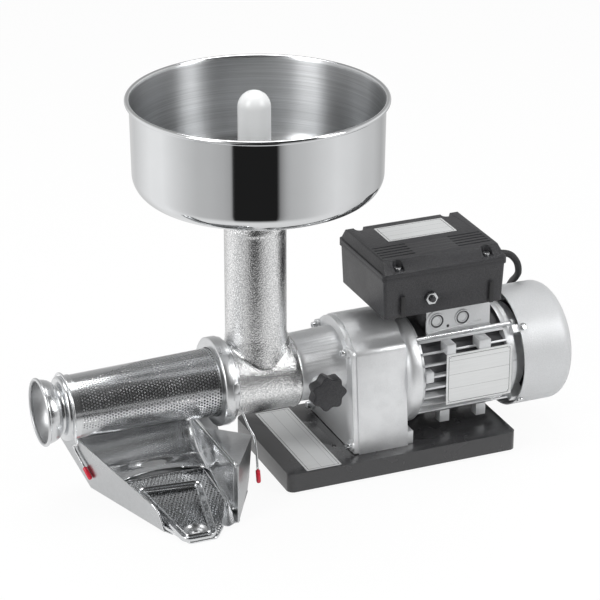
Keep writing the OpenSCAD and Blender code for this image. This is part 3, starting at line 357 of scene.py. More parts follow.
def shader_group(name, inputs, outputs):
    """New node group with named sockets; returns it with its input and output nodes."""
    group = bpy.data.node_groups.new(name, "ShaderNodeTree")
    for label, kind, value in inputs:
        socket = group.interface.new_socket(label, in_out="INPUT", socket_type="NodeSocket" + kind)
        if value is not None:
            socket.default_value = value
    for label, kind in outputs:
        group.interface.new_socket(label, in_out="OUTPUT", socket_type="NodeSocket" + kind)
    return group, group.nodes.new("NodeGroupInput"), group.nodes.new("NodeGroupOutput")


def build_cast_skin():
    """Pebbled skin of a sand casting."""
    group, source, result = shader_group("Cast Skin", [("Vector", "Vector", None), ("Pebble", "Float", 400.0)],
                                         [("Shade", "Float"), ("Height", "Float")])
    place, pebble = source.outputs[:2]
    fine = noise(group, place, pebble, 2.0, 0.6)
    grit = noise(group, place, maths(group, "MULTIPLY", pebble, 2.3), 1.0, 0.5)
    height = maths(group, "ADD", fine, maths(group, "MULTIPLY", grit, 0.35))
    shade = maths(group, "ADD", maths(group, "MULTIPLY", fine, 0.6), maths(group, "MULTIPLY", grit, 0.4))
    group.links.new(shade, result.inputs["Shade"])
    group.links.new(height, result.inputs["Height"])


def build_brushed_lines():
    """Fine lines of a brushed or turned surface; Stretch holds lines per metre on each axis."""
    group, source, result = shader_group(
        "Brushed Lines", [("Vector", "Vector", None), ("Stretch", "Vector", (40.0, 40.0, 4000.0))],
        [("Shade", "Float"), ("Height", "Float")])
    place, stretch = source.outputs[:2]
    drawn = put(group, "ShaderNodeVectorMath", {"operation": "MULTIPLY"}, _0=place, _1=stretch).outputs[0]
    fine = noise(group, drawn, 1.0, 3.0, 0.65)
    broad = noise(group, drawn, 0.17, 2.0, 0.5)
    mixed = maths(group, "ADD", maths(group, "MULTIPLY", fine, 0.65), maths(group, "MULTIPLY", broad, 0.35))
    group.links.new(mixed, result.inputs["Shade"])
    group.links.new(fine, result.inputs["Height"])


def build_turned_place():
    """Coordinates round an axis along Z: angle times 0.1, radius and height."""
    group, source, result = shader_group("Turned Place", [("Vector", "Vector", None)],
                                         [("Vector", "Vector"), ("Round", "Vector")])
    split = put(group, "ShaderNodeSeparateXYZ", _0=source.outputs[0])
    x, y, z = split.outputs
    turn = maths(group, "MULTIPLY", maths(group, "ARCTAN2", y, x), 0.1)
    radius = maths(group, "SQRT", maths(group, "ADD", maths(group, "MULTIPLY", x, x), maths(group, "MULTIPLY", y, y)))
    group.links.new(put(group, "ShaderNodeCombineXYZ", _0=turn, _1=radius, _2=z).outputs[0], result.inputs[0])
    back = maths(group, "MULTIPLY", y, -1.0)
    group.links.new(put(group, "ShaderNodeCombineXYZ", _0=back, _1=x).outputs[0], result.inputs[1])


def build_handling():
    """Faint smears that vary gloss and colour, and a mask of dust specks."""
    group, source, result = shader_group("Handling Marks", [("Vector", "Vector", None), ("Scale", "Float", 12.0)],
                                         [("Smear", "Float"), ("Dust", "Float")])
    place, scale = source.outputs[:2]
    smear = noise(group, place, scale, 4.0, 0.6)
    specks = noise(group, place, maths(group, "MULTIPLY", scale, 90.0), 1.0)
    group.links.new(spread(group, smear, 0.35, 0.7), result.inputs["Smear"])
    group.links.new(spread(group, specks, 0.68, 0.8), result.inputs["Dust"])


def build_fine_grain():
    """Even grain of moulded plastic and powder coat."""
    group, source, result = shader_group("Fine Grain", [("Vector", "Vector", None), ("Grain", "Float", 1500.0)],
                                         [("Shade", "Float"), ("Height", "Float")])
    place, grain = source.outputs[:2]
    fine = noise(group, place, grain, 2.0, 0.6)
    cells = put(group, "ShaderNodeTexVoronoi", Vector=place, Scale=maths(group, "MULTIPLY", grain, 0.6))
    group.links.new(fine, result.inputs["Shade"])
    group.links.new(maths(group, "ADD", fine, maths(group, "MULTIPLY", cells.outputs["Distance"], 0.6)),
                    result.inputs["Height"])


def build_convex_edges():
    """Mask of convex edges, broken into patches by noise."""
    group, source, result = shader_group(
        "Edge Wear", [("Vector", "Vector", None), ("Reach", "Float", 0.05)], [("Mask", "Float")])
    place, reach = source.outputs[:2]
    point = put(group, "ShaderNodeNewGeometry").outputs["Pointiness"]
    edge = spread(group, point, 0.505, maths(group, "ADD", reach, 0.505))
    patch = spread(group, noise(group, place, 60.0, 3.0), 0.35, 0.65)
    group.links.new(maths(group, "MULTIPLY", edge, patch), result.inputs["Mask"])


def use(tree, group, **inputs):
    """Places a node group in a material."""
    node = tree.nodes.new("ShaderNodeGroup")
    node.node_tree = bpy.data.node_groups[group]
    for key, value in inputs.items():
        if isinstance(value, bpy.types.NodeSocket):
            tree.links.new(value, node.inputs[key])
        else:
            node.inputs[key].default_value = value
    return node


def new_material(name, **values):
    """Material with a Principled shader, its object coordinates, and plain values on its sockets."""
    material = bpy.data.materials.new(name)
    material.use_nodes = True
    tree = material.node_tree
    shader = tree.nodes["Principled BSDF"]
    for key, value in values.items():
        shader.inputs[key.replace("_", " ")].default_value = value
    return tree, shader, tree.nodes.new("ShaderNodeTexCoord").outputs["Object"]


def tint(tree, shader, colour, shade, depth, low=0.0, high=1.0):
    """Colour varied lighter and darker by a mask."""
    dark = [c * (1 - depth) for c in colour] + [1]
    light = [min(c * (1 + depth), 1) for c in colour] + [1]
    mix = put(tree, "ShaderNodeMix", {"data_type": "RGBA"}, _0=spread(tree, shade, low, high), _6=dark, _7=light)
    tree.links.new(mix.outputs[2], shader.inputs["Base Color"])
    return mix.outputs[2]


def vary(tree, shader, mask, low, high):
    """Roughness varied by a mask."""
    tree.links.new(spread(tree, mask, 0.0, 1.0, low, high), shader.inputs["Roughness"])


def relief(tree, shader, height, distance, strength=1.0):
    """Bump of a real depth, in metres."""
    bump = put(tree, "ShaderNodeBump", Height=height, Distance=distance, Strength=strength)
    tree.links.new(bump.outputs[0], shader.inputs["Normal"])


def moved(tree, place, location=(0, 0, 0), rotation=(0, 0, 0)):
    """Pattern's coordinates centred and turned on a piece."""
    return put(tree, "ShaderNodeMapping", {"vector_type": "TEXTURE"}, Vector=place, Location=location,
               Rotation=rotation).outputs[0]


# Finishes


def make_tinned(finish):
    """Pebbled tin skin of the feed casting."""
    tree, shader, place = new_material("Tinned casting", Metallic=1.0)
    skin = use(tree, "Cast Skin", Vector=place, Pebble=620.0)
    marks = use(tree, "Handling Marks", Vector=place, Scale=60.0)
    tint(tree, shader, finish.tin, skin.outputs["Shade"], 0.32, 0.4, 0.6)
    vary(tree, shader, marks.outputs["Smear"], 0.16, 0.2)
    relief(tree, shader, skin.outputs["Height"], 0.0004, 1.0)


def turned_round(tree, place, centre, lying=True):
    """Coordinates round a part's own axis, which lies along X or stands."""
    rotation = (0, math.radians(90), 0) if lying else (0, 0, 0)
    return use(tree, "Turned Place", Vector=moved(tree, place, centre, rotation))


SCREW_AXIS = (FEED_X, 0, AXIS_Z)
MOTOR_AXIS = (0, 0, MOTOR_Z)
HOPPER_AXIS = (middle("hopper").x, 0, 0)

# Name, metallic, axis of its lines or None, lines per metre along X, Y and Z, colour and its shade, depth of the
# tint, size of its smears or 0 where the lines vary the gloss, roughness from and to, depth and strength of the relief
LINED = [
    ("Turned tin", 1.0, SCREW_AXIS, (30.0, 1500.0, 2600.0), "tin", 0.88, 0.08, 30.0, (0.26, 0.34), (0.00003, 1.0)),
    ("Brushed sheet", 1.0, None, (40.0, 1600.0, 1600.0), "steel", 0.8, 0.08, 16.0, (0.26, 0.36), (0.00004, 0.7)),
    # Painted shade: a darker copy of the brushed sheet, for the splash guard's faces turned towards +X and the drain's
    # dish
    ("Dark sheet", 1.0, None, (40.0, 1600.0, 1600.0), "steel", 0.62, 0.08, 16.0, (0.26, 0.36), (0.00004, 0.7)),
    ("Drawn rod", 1.0, None, (40.0, 1600.0, 1600.0), "steel", 1.1, 0.08, 16.0, (0.26, 0.36), (0.00004, 0.7)),
    ("Perforated steel", 1.0, None, (25.0, 1300.0, 1300.0), "steel", 0.9, 0.12, 20.0, (0.14, 0.24), (0.00004, 0.7)),
    ("Outlet steel", 1.0, SCREW_AXIS, (20.0, 900.0, 900.0), "steel", 1.0, 0.06, 0, (0.16, 0.28), (0.00002, 1.0)),
    ("Outlet inside", 0.9, None, (400.0, 400.0, 400.0), "steel", 0.74, 0.05, 0, (0.36, 0.46), (0.00002, 1.0)),
    ("Machined steel", 1.0, SCREW_AXIS, (30.0, 2500.0, 2500.0), (0.5, 0.51, 0.53), 1.0, 0.1, 0, (0.22, 0.36),
     (0.00003, 1.0)),
    ("Copper winding", 0.7, MOTOR_AXIS, (900.0, 900.0, 60.0), (0.5, 0.26, 0.12), 1.0, 0.25, 0, (0.3, 0.5),
     (0.0004, 1.0)),
    ("Label plate", 0.9, None, (60.0, 3000.0, 3000.0), (0.62, 0.63, 0.64), 1.0, 0.07, 0, (0.3, 0.42), (0.00002, 1.0)),
]


def make_lined(finish, name, metallic, axis, stretch, colour, shade, depth, smear, rough, bump):
    """Metal with fine drawn, turned or wound lines."""
    tree, shader, place = new_material(name, Metallic=metallic)
    around = turned_round(tree, place, axis).outputs[0] if axis else place
    lines = use(tree, "Brushed Lines", Vector=around, Stretch=stretch)
    base = getattr(finish, colour) if isinstance(colour, str) else colour
    tint(tree, shader, [c * shade for c in base], lines.outputs["Shade"], depth, 0.3, 0.7)
    gloss = lines.outputs["Shade"]
    if smear:
        gloss = use(tree, "Handling Marks", Vector=place, Scale=smear).outputs["Smear"]
    vary(tree, shader, gloss, *rough)
    relief(tree, shader, lines.outputs["Height"], *bump)


def make_die_cast(finish):
    """Fine-grained die casting, lighter along its convex edges."""
    tree, shader, place = new_material("Die casting", Metallic=0.7)
    grain = use(tree, "Fine Grain", Vector=place, Grain=900.0)
    marks = use(tree, "Handling Marks", Vector=place, Scale=14.0)
    edge_mask = use(tree, "Edge Wear", Vector=place, Reach=0.06)
    base = tint(tree, shader, finish.die_cast, grain.outputs["Shade"], 0.05, 0.3, 0.7)
    light = put(tree, "ShaderNodeMix", {"data_type": "RGBA"}, _0=edge_mask.outputs[0], _6=base, _7=(0.84, 0.85, 0.86, 1))
    tree.links.new(light.outputs[2], shader.inputs["Base Color"])
    vary(tree, shader, marks.outputs["Smear"], 0.38, 0.41)
    relief(tree, shader, grain.outputs["Height"], 0.00012, 0.6)


def make_polished(finish):
    """Polished sheet with long soft waves."""
    tree, shader, place = new_material("Polished sheet", Metallic=1.0)
    lines = use(tree, "Brushed Lines", Vector=place, Stretch=(25.0, 900.0, 900.0))
    marks = use(tree, "Handling Marks", Vector=place, Scale=9.0)
    tint(tree, shader, finish.steel, marks.outputs["Smear"], 0.04)
    vary(tree, shader, lines.outputs["Shade"], 0.1, 0.2)
    drawn = put(tree, "ShaderNodeVectorMath", {"operation": "MULTIPLY"}, _0=place, _1=(7.0, 55.0, 55.0)).outputs[0]
    relief(tree, shader, noise(tree, drawn, 1.0, 1.0, 0.4), 0.004, 0.6)


def make_drawn(finish):
    """Deflector's sheet, drawn lengthwise, so that its reflections run in long bands, and lightened as painted light.
    """
    tree, shader, place = new_material("Drawn sheet", Metallic=1.0)
    lines = use(tree, "Brushed Lines", Vector=place, Stretch=(12.0, 300.0, 300.0))
    # Painted light: the colour is 1.15 times the sheet steel, lighter than the other polished sheet, for the bright
    # band along the deflector's lip
    tint(tree, shader, [c * 1.15 for c in finish.steel], lines.outputs["Shade"], 0.1, 0.3, 0.7)
    vary(tree, shader, lines.outputs["Shade"], 0.16, 0.26)
    drawn = put(tree, "ShaderNodeVectorMath", {"operation": "MULTIPLY"}, _0=place, _1=(3.0, 34.0, 34.0)).outputs[0]
    relief(tree, shader, noise(tree, drawn, 1.0, 0.0, 0.5), 0.006, 0.8)


def make_bowl_outside(finish):
    """Mirror polish round the hopper's wall."""
    tree, shader, place = new_material("Bowl outside", Metallic=1.0)
    around = turned_round(tree, place, HOPPER_AXIS, lying=False)
    lines = use(tree, "Brushed Lines", Vector=around.outputs[0], Stretch=(20.0, 300.0, 3000.0))
    marks = use(tree, "Handling Marks", Vector=place, Scale=8.0)
    tint(tree, shader, finish.steel, marks.outputs["Smear"], 0.03)
    vary(tree, shader, lines.outputs["Shade"], 0.02, 0.06)
    relief(tree, shader, lines.outputs["Height"], 0.000004)


def make_bowl_inside(finish):
    """Brushing round the inside of the hopper, which draws its reflections upright, on a colour darkened as painted
    shade.
    """
    tree, shader, place = new_material("Bowl inside", Metallic=1.0, Anisotropic=0.85, Anisotropic_Rotation=0.25)
    around = turned_round(tree, place, HOPPER_AXIS, lying=False)
    tree.links.new(around.outputs["Round"], shader.inputs["Tangent"])
    lines = use(tree, "Brushed Lines", Vector=around.outputs[0], Stretch=(18.0, 1400.0, 2400.0))
    # Painted shade: the inside's colour is 0.78 of the sheet steel, darker than the outside; its brush lines are real
    # grain
    tint(tree, shader, [c * 0.78 for c in finish.steel], lines.outputs["Shade"], 0.24, 0.32, 0.68)
    vary(tree, shader, lines.outputs["Shade"], 0.24, 0.38)
    relief(tree, shader, lines.outputs["Height"], 0.00006, 0.8)


def make_bright_edge():
    """Rubbed steel of wires, hems and rolled edges."""
    tree, shader, place = new_material("Bright edge", Metallic=1.0)
    marks = use(tree, "Handling Marks", Vector=place, Scale=60.0)
    tint(tree, shader, (0.82, 0.83, 0.84), marks.outputs["Smear"], 0.05)
    vary(tree, shader, marks.outputs["Smear"], 0.14, 0.24)
    relief(tree, shader, noise(tree, place, 700.0, 1.0), 0.00002)


def make_zinc():
    """Zinc skin of screws and nuts."""
    tree, shader, place = new_material("Zinc plate", Metallic=1.0)
    marks = use(tree, "Handling Marks", Vector=place, Scale=150.0)
    grain = use(tree, "Fine Grain", Vector=place, Grain=2500.0)
    tint(tree, shader, (0.7, 0.71, 0.72), marks.outputs["Smear"], 0.08)
    vary(tree, shader, marks.outputs["Smear"], 0.2, 0.32)
    relief(tree, shader, grain.outputs["Height"], 0.00002, 0.5)


def make_grained(name, colour, metallic, grain_size, depth, rough, colour_depth=0.06, coat=0.0):
    """Plain moulded, painted or sintered surface with a fine grain and faint smears."""
    tree, shader, place = new_material(name, Metallic=metallic)
    if coat:
        shader.inputs["Coat Weight"].default_value = coat
        shader.inputs["Coat Roughness"].default_value = 0.25
    grain = use(tree, "Fine Grain", Vector=place, Grain=grain_size)
    marks = use(tree, "Handling Marks", Vector=place, Scale=18.0)
    tint(tree, shader, colour, grain.outputs["Shade"], colour_depth, 0.3, 0.7)
    vary(tree, shader, marks.outputs["Smear"], rough, rough + 0.1)
    relief(tree, shader, grain.outputs["Height"], depth, 0.7)


# Name, colour, metallic, grains per metre, depth of the relief, roughness, depth of the tint, clear coat
GRAINED = [
    ("Bronze", (0.62, 0.45, 0.22), 0.9, 2200.0, 0.00005, 0.35),
    ("Motor paint", "paint", 0.4, 1300.0, 0.00008, 0.34),
    # Painted shade: near-black finish for the floor between the motor's fins and the knock-outs' grooves
    ("Fin floor", (0.1, 0.1, 0.105), 0.2, 1300.0, 0.0001, 0.5),
    ("Cowl paint", "cowl", 0.3, 900.0, 0.0002, 0.42),
    ("Powder coat", "powder", 0.0, 900.0, 0.00012, 0.2, 0.2, 0.5),
    ("Moulded black", "black", 0.0, 800.0, 0.0003, 0.36, 0.45),
    ("Gloss black", "black", 0.0, 2500.0, 0.00002, 0.18, 0.1),
    ("White plastic", "white", 0.0, 2500.0, 0.00001, 0.26, 0.02, 0.3),
    ("Rubber", (0.02, 0.02, 0.021), 0.0, 2000.0, 0.00005, 0.5, 0.2),
    ("Red sleeve", "red", 0.0, 2500.0, 0.00002, 0.22, 0.05, 0.4),
]


def make_ruled(node, across, up, spacing):
    """Bare plate with a thin line inside its edge and blank rules; across and up are the plate's two axes."""
    tree, shader, place = new_material("Ruled " + node, Metallic=0.2)
    low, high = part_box(node)
    split = put(tree, "ShaderNodeSeparateXYZ", _0=place)
    gaps = []
    for axis in (across, up):
        off = maths(tree, "ABSOLUTE", maths(tree, "SUBTRACT", split.outputs[axis], (low[axis] + high[axis]) / 2))
        gaps.append(maths(tree, "SUBTRACT", (high[axis] - low[axis]) / 2, off))
    rim = maths(tree, "MINIMUM", *gaps)
    border = maths(tree, "LESS_THAN", maths(tree, "ABSOLUTE", maths(tree, "SUBTRACT", rim, 0.0026)), 0.0003)
    row = maths(tree, "PINGPONG", maths(tree, "SUBTRACT", split.outputs[up], low[up] + 0.0026), spacing)
    rule = maths(tree, "MULTIPLY", maths(tree, "LESS_THAN", row, 0.0002), maths(tree, "GREATER_THAN", rim, 0.0028))
    line = maths(tree, "MAXIMUM", border, maths(tree, "MULTIPLY", rule, 0.5))
    lines = use(tree, "Brushed Lines", Vector=place, Stretch=(60.0, 3000.0, 3000.0))
    base = tint(tree, shader, (0.72, 0.73, 0.73), lines.outputs["Shade"], 0.06, 0.3, 0.7)
    inked = put(tree, "ShaderNodeMix", {"data_type": "RGBA"}, _0=line, _6=base, _7=(0.05, 0.05, 0.055, 1))
    tree.links.new(inked.outputs[2], shader.inputs["Base Color"])
    vary(tree, shader, lines.outputs["Shade"], 0.3, 0.42)
    relief(tree, shader, lines.outputs["Height"], 0.00002)


FINISH_OF_SLOT = {
    "cast_white": "Tinned casting", "cast_grey": "Die casting", "steel_polished": "Polished sheet",
    "steel_brushed": "Brushed sheet", "zinc": "Zinc plate", "gear_steel": "Machined steel", "bronze": "Bronze",
    "copper": "Copper winding", "frame_grey": "Motor paint", "cowl_grey": "Cowl paint",
    "base_black": "Powder coat", "black_plastic": "Moulded black", "black_gloss": "Gloss black",
    "white_plastic": "White plastic", "label_grey": "Label plate", "rubber_black": "Rubber",
    "red_plastic": "Red sleeve",
}


class PRESS_OT_finishes(bpy.types.Operator):
    """Makes the shared node groups and materials, and gives each CAD node its own"""

    bl_idname = "press.finishes"
    bl_label = "Finishes"

    def execute(self, context):
        finish = context.scene.press_finish
        for build in (build_cast_skin, build_brushed_lines, build_turned_place, build_handling, build_fine_grain,
                      build_convex_edges):
            build()
        for make in (make_tinned, make_die_cast, make_polished, make_drawn, make_bowl_outside, make_bowl_inside):
            make(finish)
        make_bright_edge()
        make_zinc()
        for row in LINED:
            make_lined(finish, *row)
        make_ruled("nameplate", 0, 2, 0.0085)
        make_ruled("box_label", 0, 1, 0.006)
        make_ruled("base_label", 1, 0, 0.008)
        for name, colour, *values in GRAINED:
            make_grained(name, getattr(finish, colour) if isinstance(colour, str) else colour, *values)
        for name, node in frame["nodes"].items():
            node.data.materials.clear()
            node.data.materials.append(bpy.data.materials[FINISH_OF_SLOT[record_slot(name)]])
        return {"FINISHED"}


# Camera and studio


LENS = 154.955
CAMERA_PLACE = Vector((-1.02207, -2.42324, 1.359))
CAMERA_BACK = Vector((-0.35382, -0.84336, 0.40441))


def lamp(name, place, target, size, power):
    data = bpy.data.lights.new(name, "AREA")
    data.shape = "RECTANGLE"
    data.size, data.size_y = size
    data.energy = power
    item = bpy.data.objects.new(name, data)
    item.location = place
    item.rotation_euler = (Vector(target) - Vector(place)).to_track_quat("-Z", "Y").to_euler()
    bpy.context.scene.collection.objects.link(item)
    return item


# Brightness of the floor in mirrors by the angle round the feed tube, in degrees from the camera's side
FLOOR_BANDS = [(-180, 0.7), (-138, 0.72), (-108, 1.0), (-90, 1.0), (-75, 0.82), (-62, 0.68), (-52, 0.6), (-40, 0.58),
               (-28, 0.52), (-21.5, 0.44), (-19.5, 0.016), (17.5, 0.016), (20, 0.3), (25, 0.5), (29, 0.58), (42, 0.66),
               (56, 0.78), (72, 0.9), (90, 0.84), (105, 0.72), (122, 0.66), (140, 0.5), (180, 0.7)]
CAMERA_TURN = math.atan2(CAMERA_BACK.x, -CAMERA_BACK.y)


def ramp(tree, value, stops):
    """Greys held at stops from 0 to 1."""
    node = put(tree, "ShaderNodeValToRGB", _0=value)
    while len(node.color_ramp.elements) > 1:
        node.color_ramp.elements.remove(node.color_ramp.elements[0])
    for i, (at, grey) in enumerate(stops):
        stop = node.color_ramp.elements[0] if i == 0 else node.color_ramp.elements.new(at)
        stop.position = at
        stop.color = (grey, grey, grey, 1)
    return node.outputs[0]


def studio_floor(stage):
    """Pale floor: matt with the object's shadow, white to the camera, and banded light and dark in mirrors."""
    floor = new_piece("floor", [(-8, -8, -0.0003), (8, -8, -0.0003), (8, 8, -0.0003), (-8, 8, -0.0003)],
                      [(0, 1, 2, 3)], False)
    material = bpy.data.materials.new("Studio floor")
    material.use_nodes = True
    tree = material.node_tree
    tree.nodes.clear()
    path = put(tree, "ShaderNodeLightPath").outputs
    place = tree.nodes.new("ShaderNodeTexCoord").outputs["Object"]
    across, along, _ = put(tree, "ShaderNodeSeparateXYZ", _0=moved(tree, place, (FEED_X, 0, 0),
                                                                   (0, 0, CAMERA_TURN))).outputs
    turn = maths(tree, "ARCTAN2", across, maths(tree, "MULTIPLY", along, -1.0))
    bands = ramp(tree, spread(tree, turn, -math.pi, math.pi), [((a + 180) / 360, g) for a, g in FLOOR_BANDS])
    away = maths(tree, "SQRT", maths(tree, "ADD", maths(tree, "MULTIPLY", across, across),
                                     maths(tree, "MULTIPLY", along, along)))
    far = spread(tree, away, 0.3, 0.45)
    grey = put(tree, "ShaderNodeMix", {"data_type": "RGBA"}, _0=far, _6=(0.88, 0.88, 0.88, 1), _7=bands).outputs[2]
    matt = put(tree, "ShaderNodeBsdfDiffuse", Color=(*stage.floor, 1)).outputs[0]
    white = put(tree, "ShaderNodeEmission", Color=(1, 1, 1, 1), Strength=1.0).outputs[0]
    banded = put(tree, "ShaderNodeEmission", Color=grey, Strength=1.0).outputs[0]
    seen = put(tree, "ShaderNodeMixShader", _0=maths(tree, "MULTIPLY", path["Is Camera Ray"], 0.93), _1=matt,
               _2=white).outputs[0]
    mirrored = maths(tree, "MULTIPLY", maths(tree, "MAXIMUM", path["Is Glossy Ray"], path["Is Transmission Ray"]),
                     spread(tree, away, 0.2, 0.5, 0.75, 1.0))
    mix = put(tree, "ShaderNodeMixShader", _0=mirrored, _1=seen, _2=banded).outputs[0]
    tree.links.new(mix, tree.nodes.new("ShaderNodeOutputMaterial").inputs[0])
    floor.data.materials.append(material)


# Where the room is darkest and where it is dull in mirrors, as directions
ROOM_DARK = (0.07, -0.92, 0.37)
ROOM_BACK = (0.3, 0.87, 0.39)


def studio_room(stage):
    """Room's light: plain on matt surfaces, white to the camera, and in mirrors dark towards the camera's side."""
    world = bpy.data.worlds.new("Studio room")
    bpy.context.scene.world = world
    world.use_nodes = True
    tree = world.node_tree
    tree.nodes.clear()
    path = put(tree, "ShaderNodeLightPath").outputs
    mirrored = maths(tree, "MAXIMUM", path["Is Glossy Ray"], path["Is Transmission Ray"])
    way = put(tree, "ShaderNodeTexCoord").outputs["Generated"]
    up = put(tree, "ShaderNodeSeparateXYZ", _0=way).outputs[2]
    facing = put(tree, "ShaderNodeVectorMath", {"operation": "DOT_PRODUCT"}, _0=way, _1=ROOM_DARK).outputs["Value"]
    dark = spread(tree, facing, 0.45, 0.85, 1.0, 0.06)
    high = spread(tree, up, 0.25, 0.9, 1.0, 0.4)
    behind = put(tree, "ShaderNodeVectorMath", {"operation": "DOT_PRODUCT"}, _0=way, _1=ROOM_BACK).outputs["Value"]
    dull = spread(tree, behind, 0.6, 0.95, 1.0, 0.5)
    shade = maths(tree, "MULTIPLY", maths(tree, "MULTIPLY", dark, high), dull)
    level = maths(tree, "ADD", stage.sky, maths(tree, "MULTIPLY", mirrored, maths(tree, "SUBTRACT", shade, stage.sky)))
    level = maths(tree, "MAXIMUM", level, path["Is Camera Ray"])
    glow = put(tree, "ShaderNodeBackground", Color=(1, 1, 1, 1), Strength=level).outputs[0]
    tree.links.new(glow, tree.nodes.new("ShaderNodeOutputWorld").inputs[0])


class PRESS_OT_stage(bpy.types.Operator):
    """Sets the camera, the lamps, the floor and the room"""

    bl_idname = "press.stage"
    bl_label = "Stage"

    def execute(self, context):
        scene = context.scene
        stage = scene.press_stage
        data = bpy.data.cameras.new("Camera")
        data.lens, data.sensor_width = LENS, 36.0
        data.clip_start, data.clip_end = 0.1, 30.0
        camera = bpy.data.objects.new("Camera", data)
        camera.location = CAMERA_PLACE
        camera.rotation_mode = "QUATERNION"
        camera.rotation_quaternion = (-CAMERA_BACK).to_track_quat("-Z", "Y")
        scene.collection.objects.link(camera)
        scene.camera = camera
        scene.view_settings.view_transform = "Standard"
        target = (0, 0, 0.18)
        lamp("Key lamp", (-2.1, -0.7, 1.6), target, (1.0, 1.6), stage.key_power)
        lamp("Top lamp", (0.1, 0.4, 2.1), target, (1.6, 0.9), stage.top_power)
        lamp("Fill lamp", (1.5, -1.5, 1.5), target, (0.8, 1.3), stage.fill_power)
        studio_floor(stage)
        studio_room(stage)
        return {"FINISHED"}


# Mains cord

CORD_MM = 8.0
GLAND_H = middle("cord_gland").z / MM
CORD_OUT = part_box("cord_gland")[1].x / MM - FEED_X / MM
CORD_ROUTE = [(CORD_OUT, 14, GLAND_H), (CORD_OUT + 4, 14, GLAND_H), (321, 14.5, 203), (332, 17, 191), (338, 23, 176),
              (342, 36, 163), (345, 53, 149), (346.5, 68, 130), (346.5, 76, 108), (345, 81, 86), (342, 85, 64),
              (338, 89, 44), (331, 94, 25), (319, 102, 10.5), (304.6, 113.2, 4), (289, 128.8, 4), (274, 143.8, 4),
              (261, 156.8, 4), (253, 164.8, 4)]
COIL_PLACE = (200, 150)
COIL_TURNS = 4
PLUG_ENTRY = (161.6, 192, 8)


def coil_path():
    """Turns beside and on each other: out, in, in and up, out again."""
    stations = [(48, 4), (40, 4), (40, 12), (48, 12)]
    start = math.radians(45)
    path = []
    per_turn = 36
    total = COIL_TURNS * per_turn + per_turn // 8
    for i in range(total + 1):
        turn = i / per_turn
        k = min(int(turn), COIL_TURNS - 1)
        share = min((turn - k) / 0.3, 1.0)
        share = share * share * (3 - 2 * share)
        before = stations[max(k - 1, 0)]
        radius = before[0] + (stations[k][0] - before[0]) * share
        height = before[1] + (stations[k][1] - before[1]) * share
        angle = start + 2 * math.pi * turn
        path.append((COIL_PLACE[0] + radius * math.cos(angle), COIL_PLACE[1] + radius * math.sin(angle), height))
    return path


class PRESS_OT_cord(bpy.types.Operator):
    """Lays the mains cord from its strain relief to the coil and the plug behind the machine"""

    bl_idname = "press.cord"
    bl_label = "Mains cord"

    def execute(self, context):
        free = rounded(CORD_ROUTE, 6)[:-1]
        lead = rounded([coil_path()[-1], (181, 197, 10.6), (170, 193.4, 8.6), PLUG_ENTRY], 6)[1:]
        path = [spot(x, y, max(z, CORD_MM / 2)) for x, y, z in free + coil_path() + lead]
        cord = tube("mains_lead", path, CORD_MM * MM / 2, 14)
        finish_piece(cord, "Rubber", "machine", "rubber_black", "mains_cord", "cord_coil")
        plug = dress("mains_plug", "Gloss black", 35, 0.0015, 3)
        plug.data.materials.append(bpy.data.materials["Zinc plate"])
        pins_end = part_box("mains_plug")[0].x + 0.0178
        for face in plug.data.polygons:
            if face.center.x < pins_end:
                face.material_index = 1
        dress("cord_gland", "Moulded black", 32, 0.0004)
        return {"FINISHED"}


# Hopper and pestle

BEAD_MM = 2.8
RIM_MM = 142.7
WALL_TOP_MM = 137.94
WALL_LOW_MM = 136.74
ROUND_MM = 24.0
HOPPER_SHEET_MM = 1.2
HOPPER_SHIFT_MM = 4.0
COLLAR_MM = 31.4
FEED_TOP_MM = 304.0
HOPPER_BASE_MM = 336.0
HOPPER_TOP_MM = 444.0


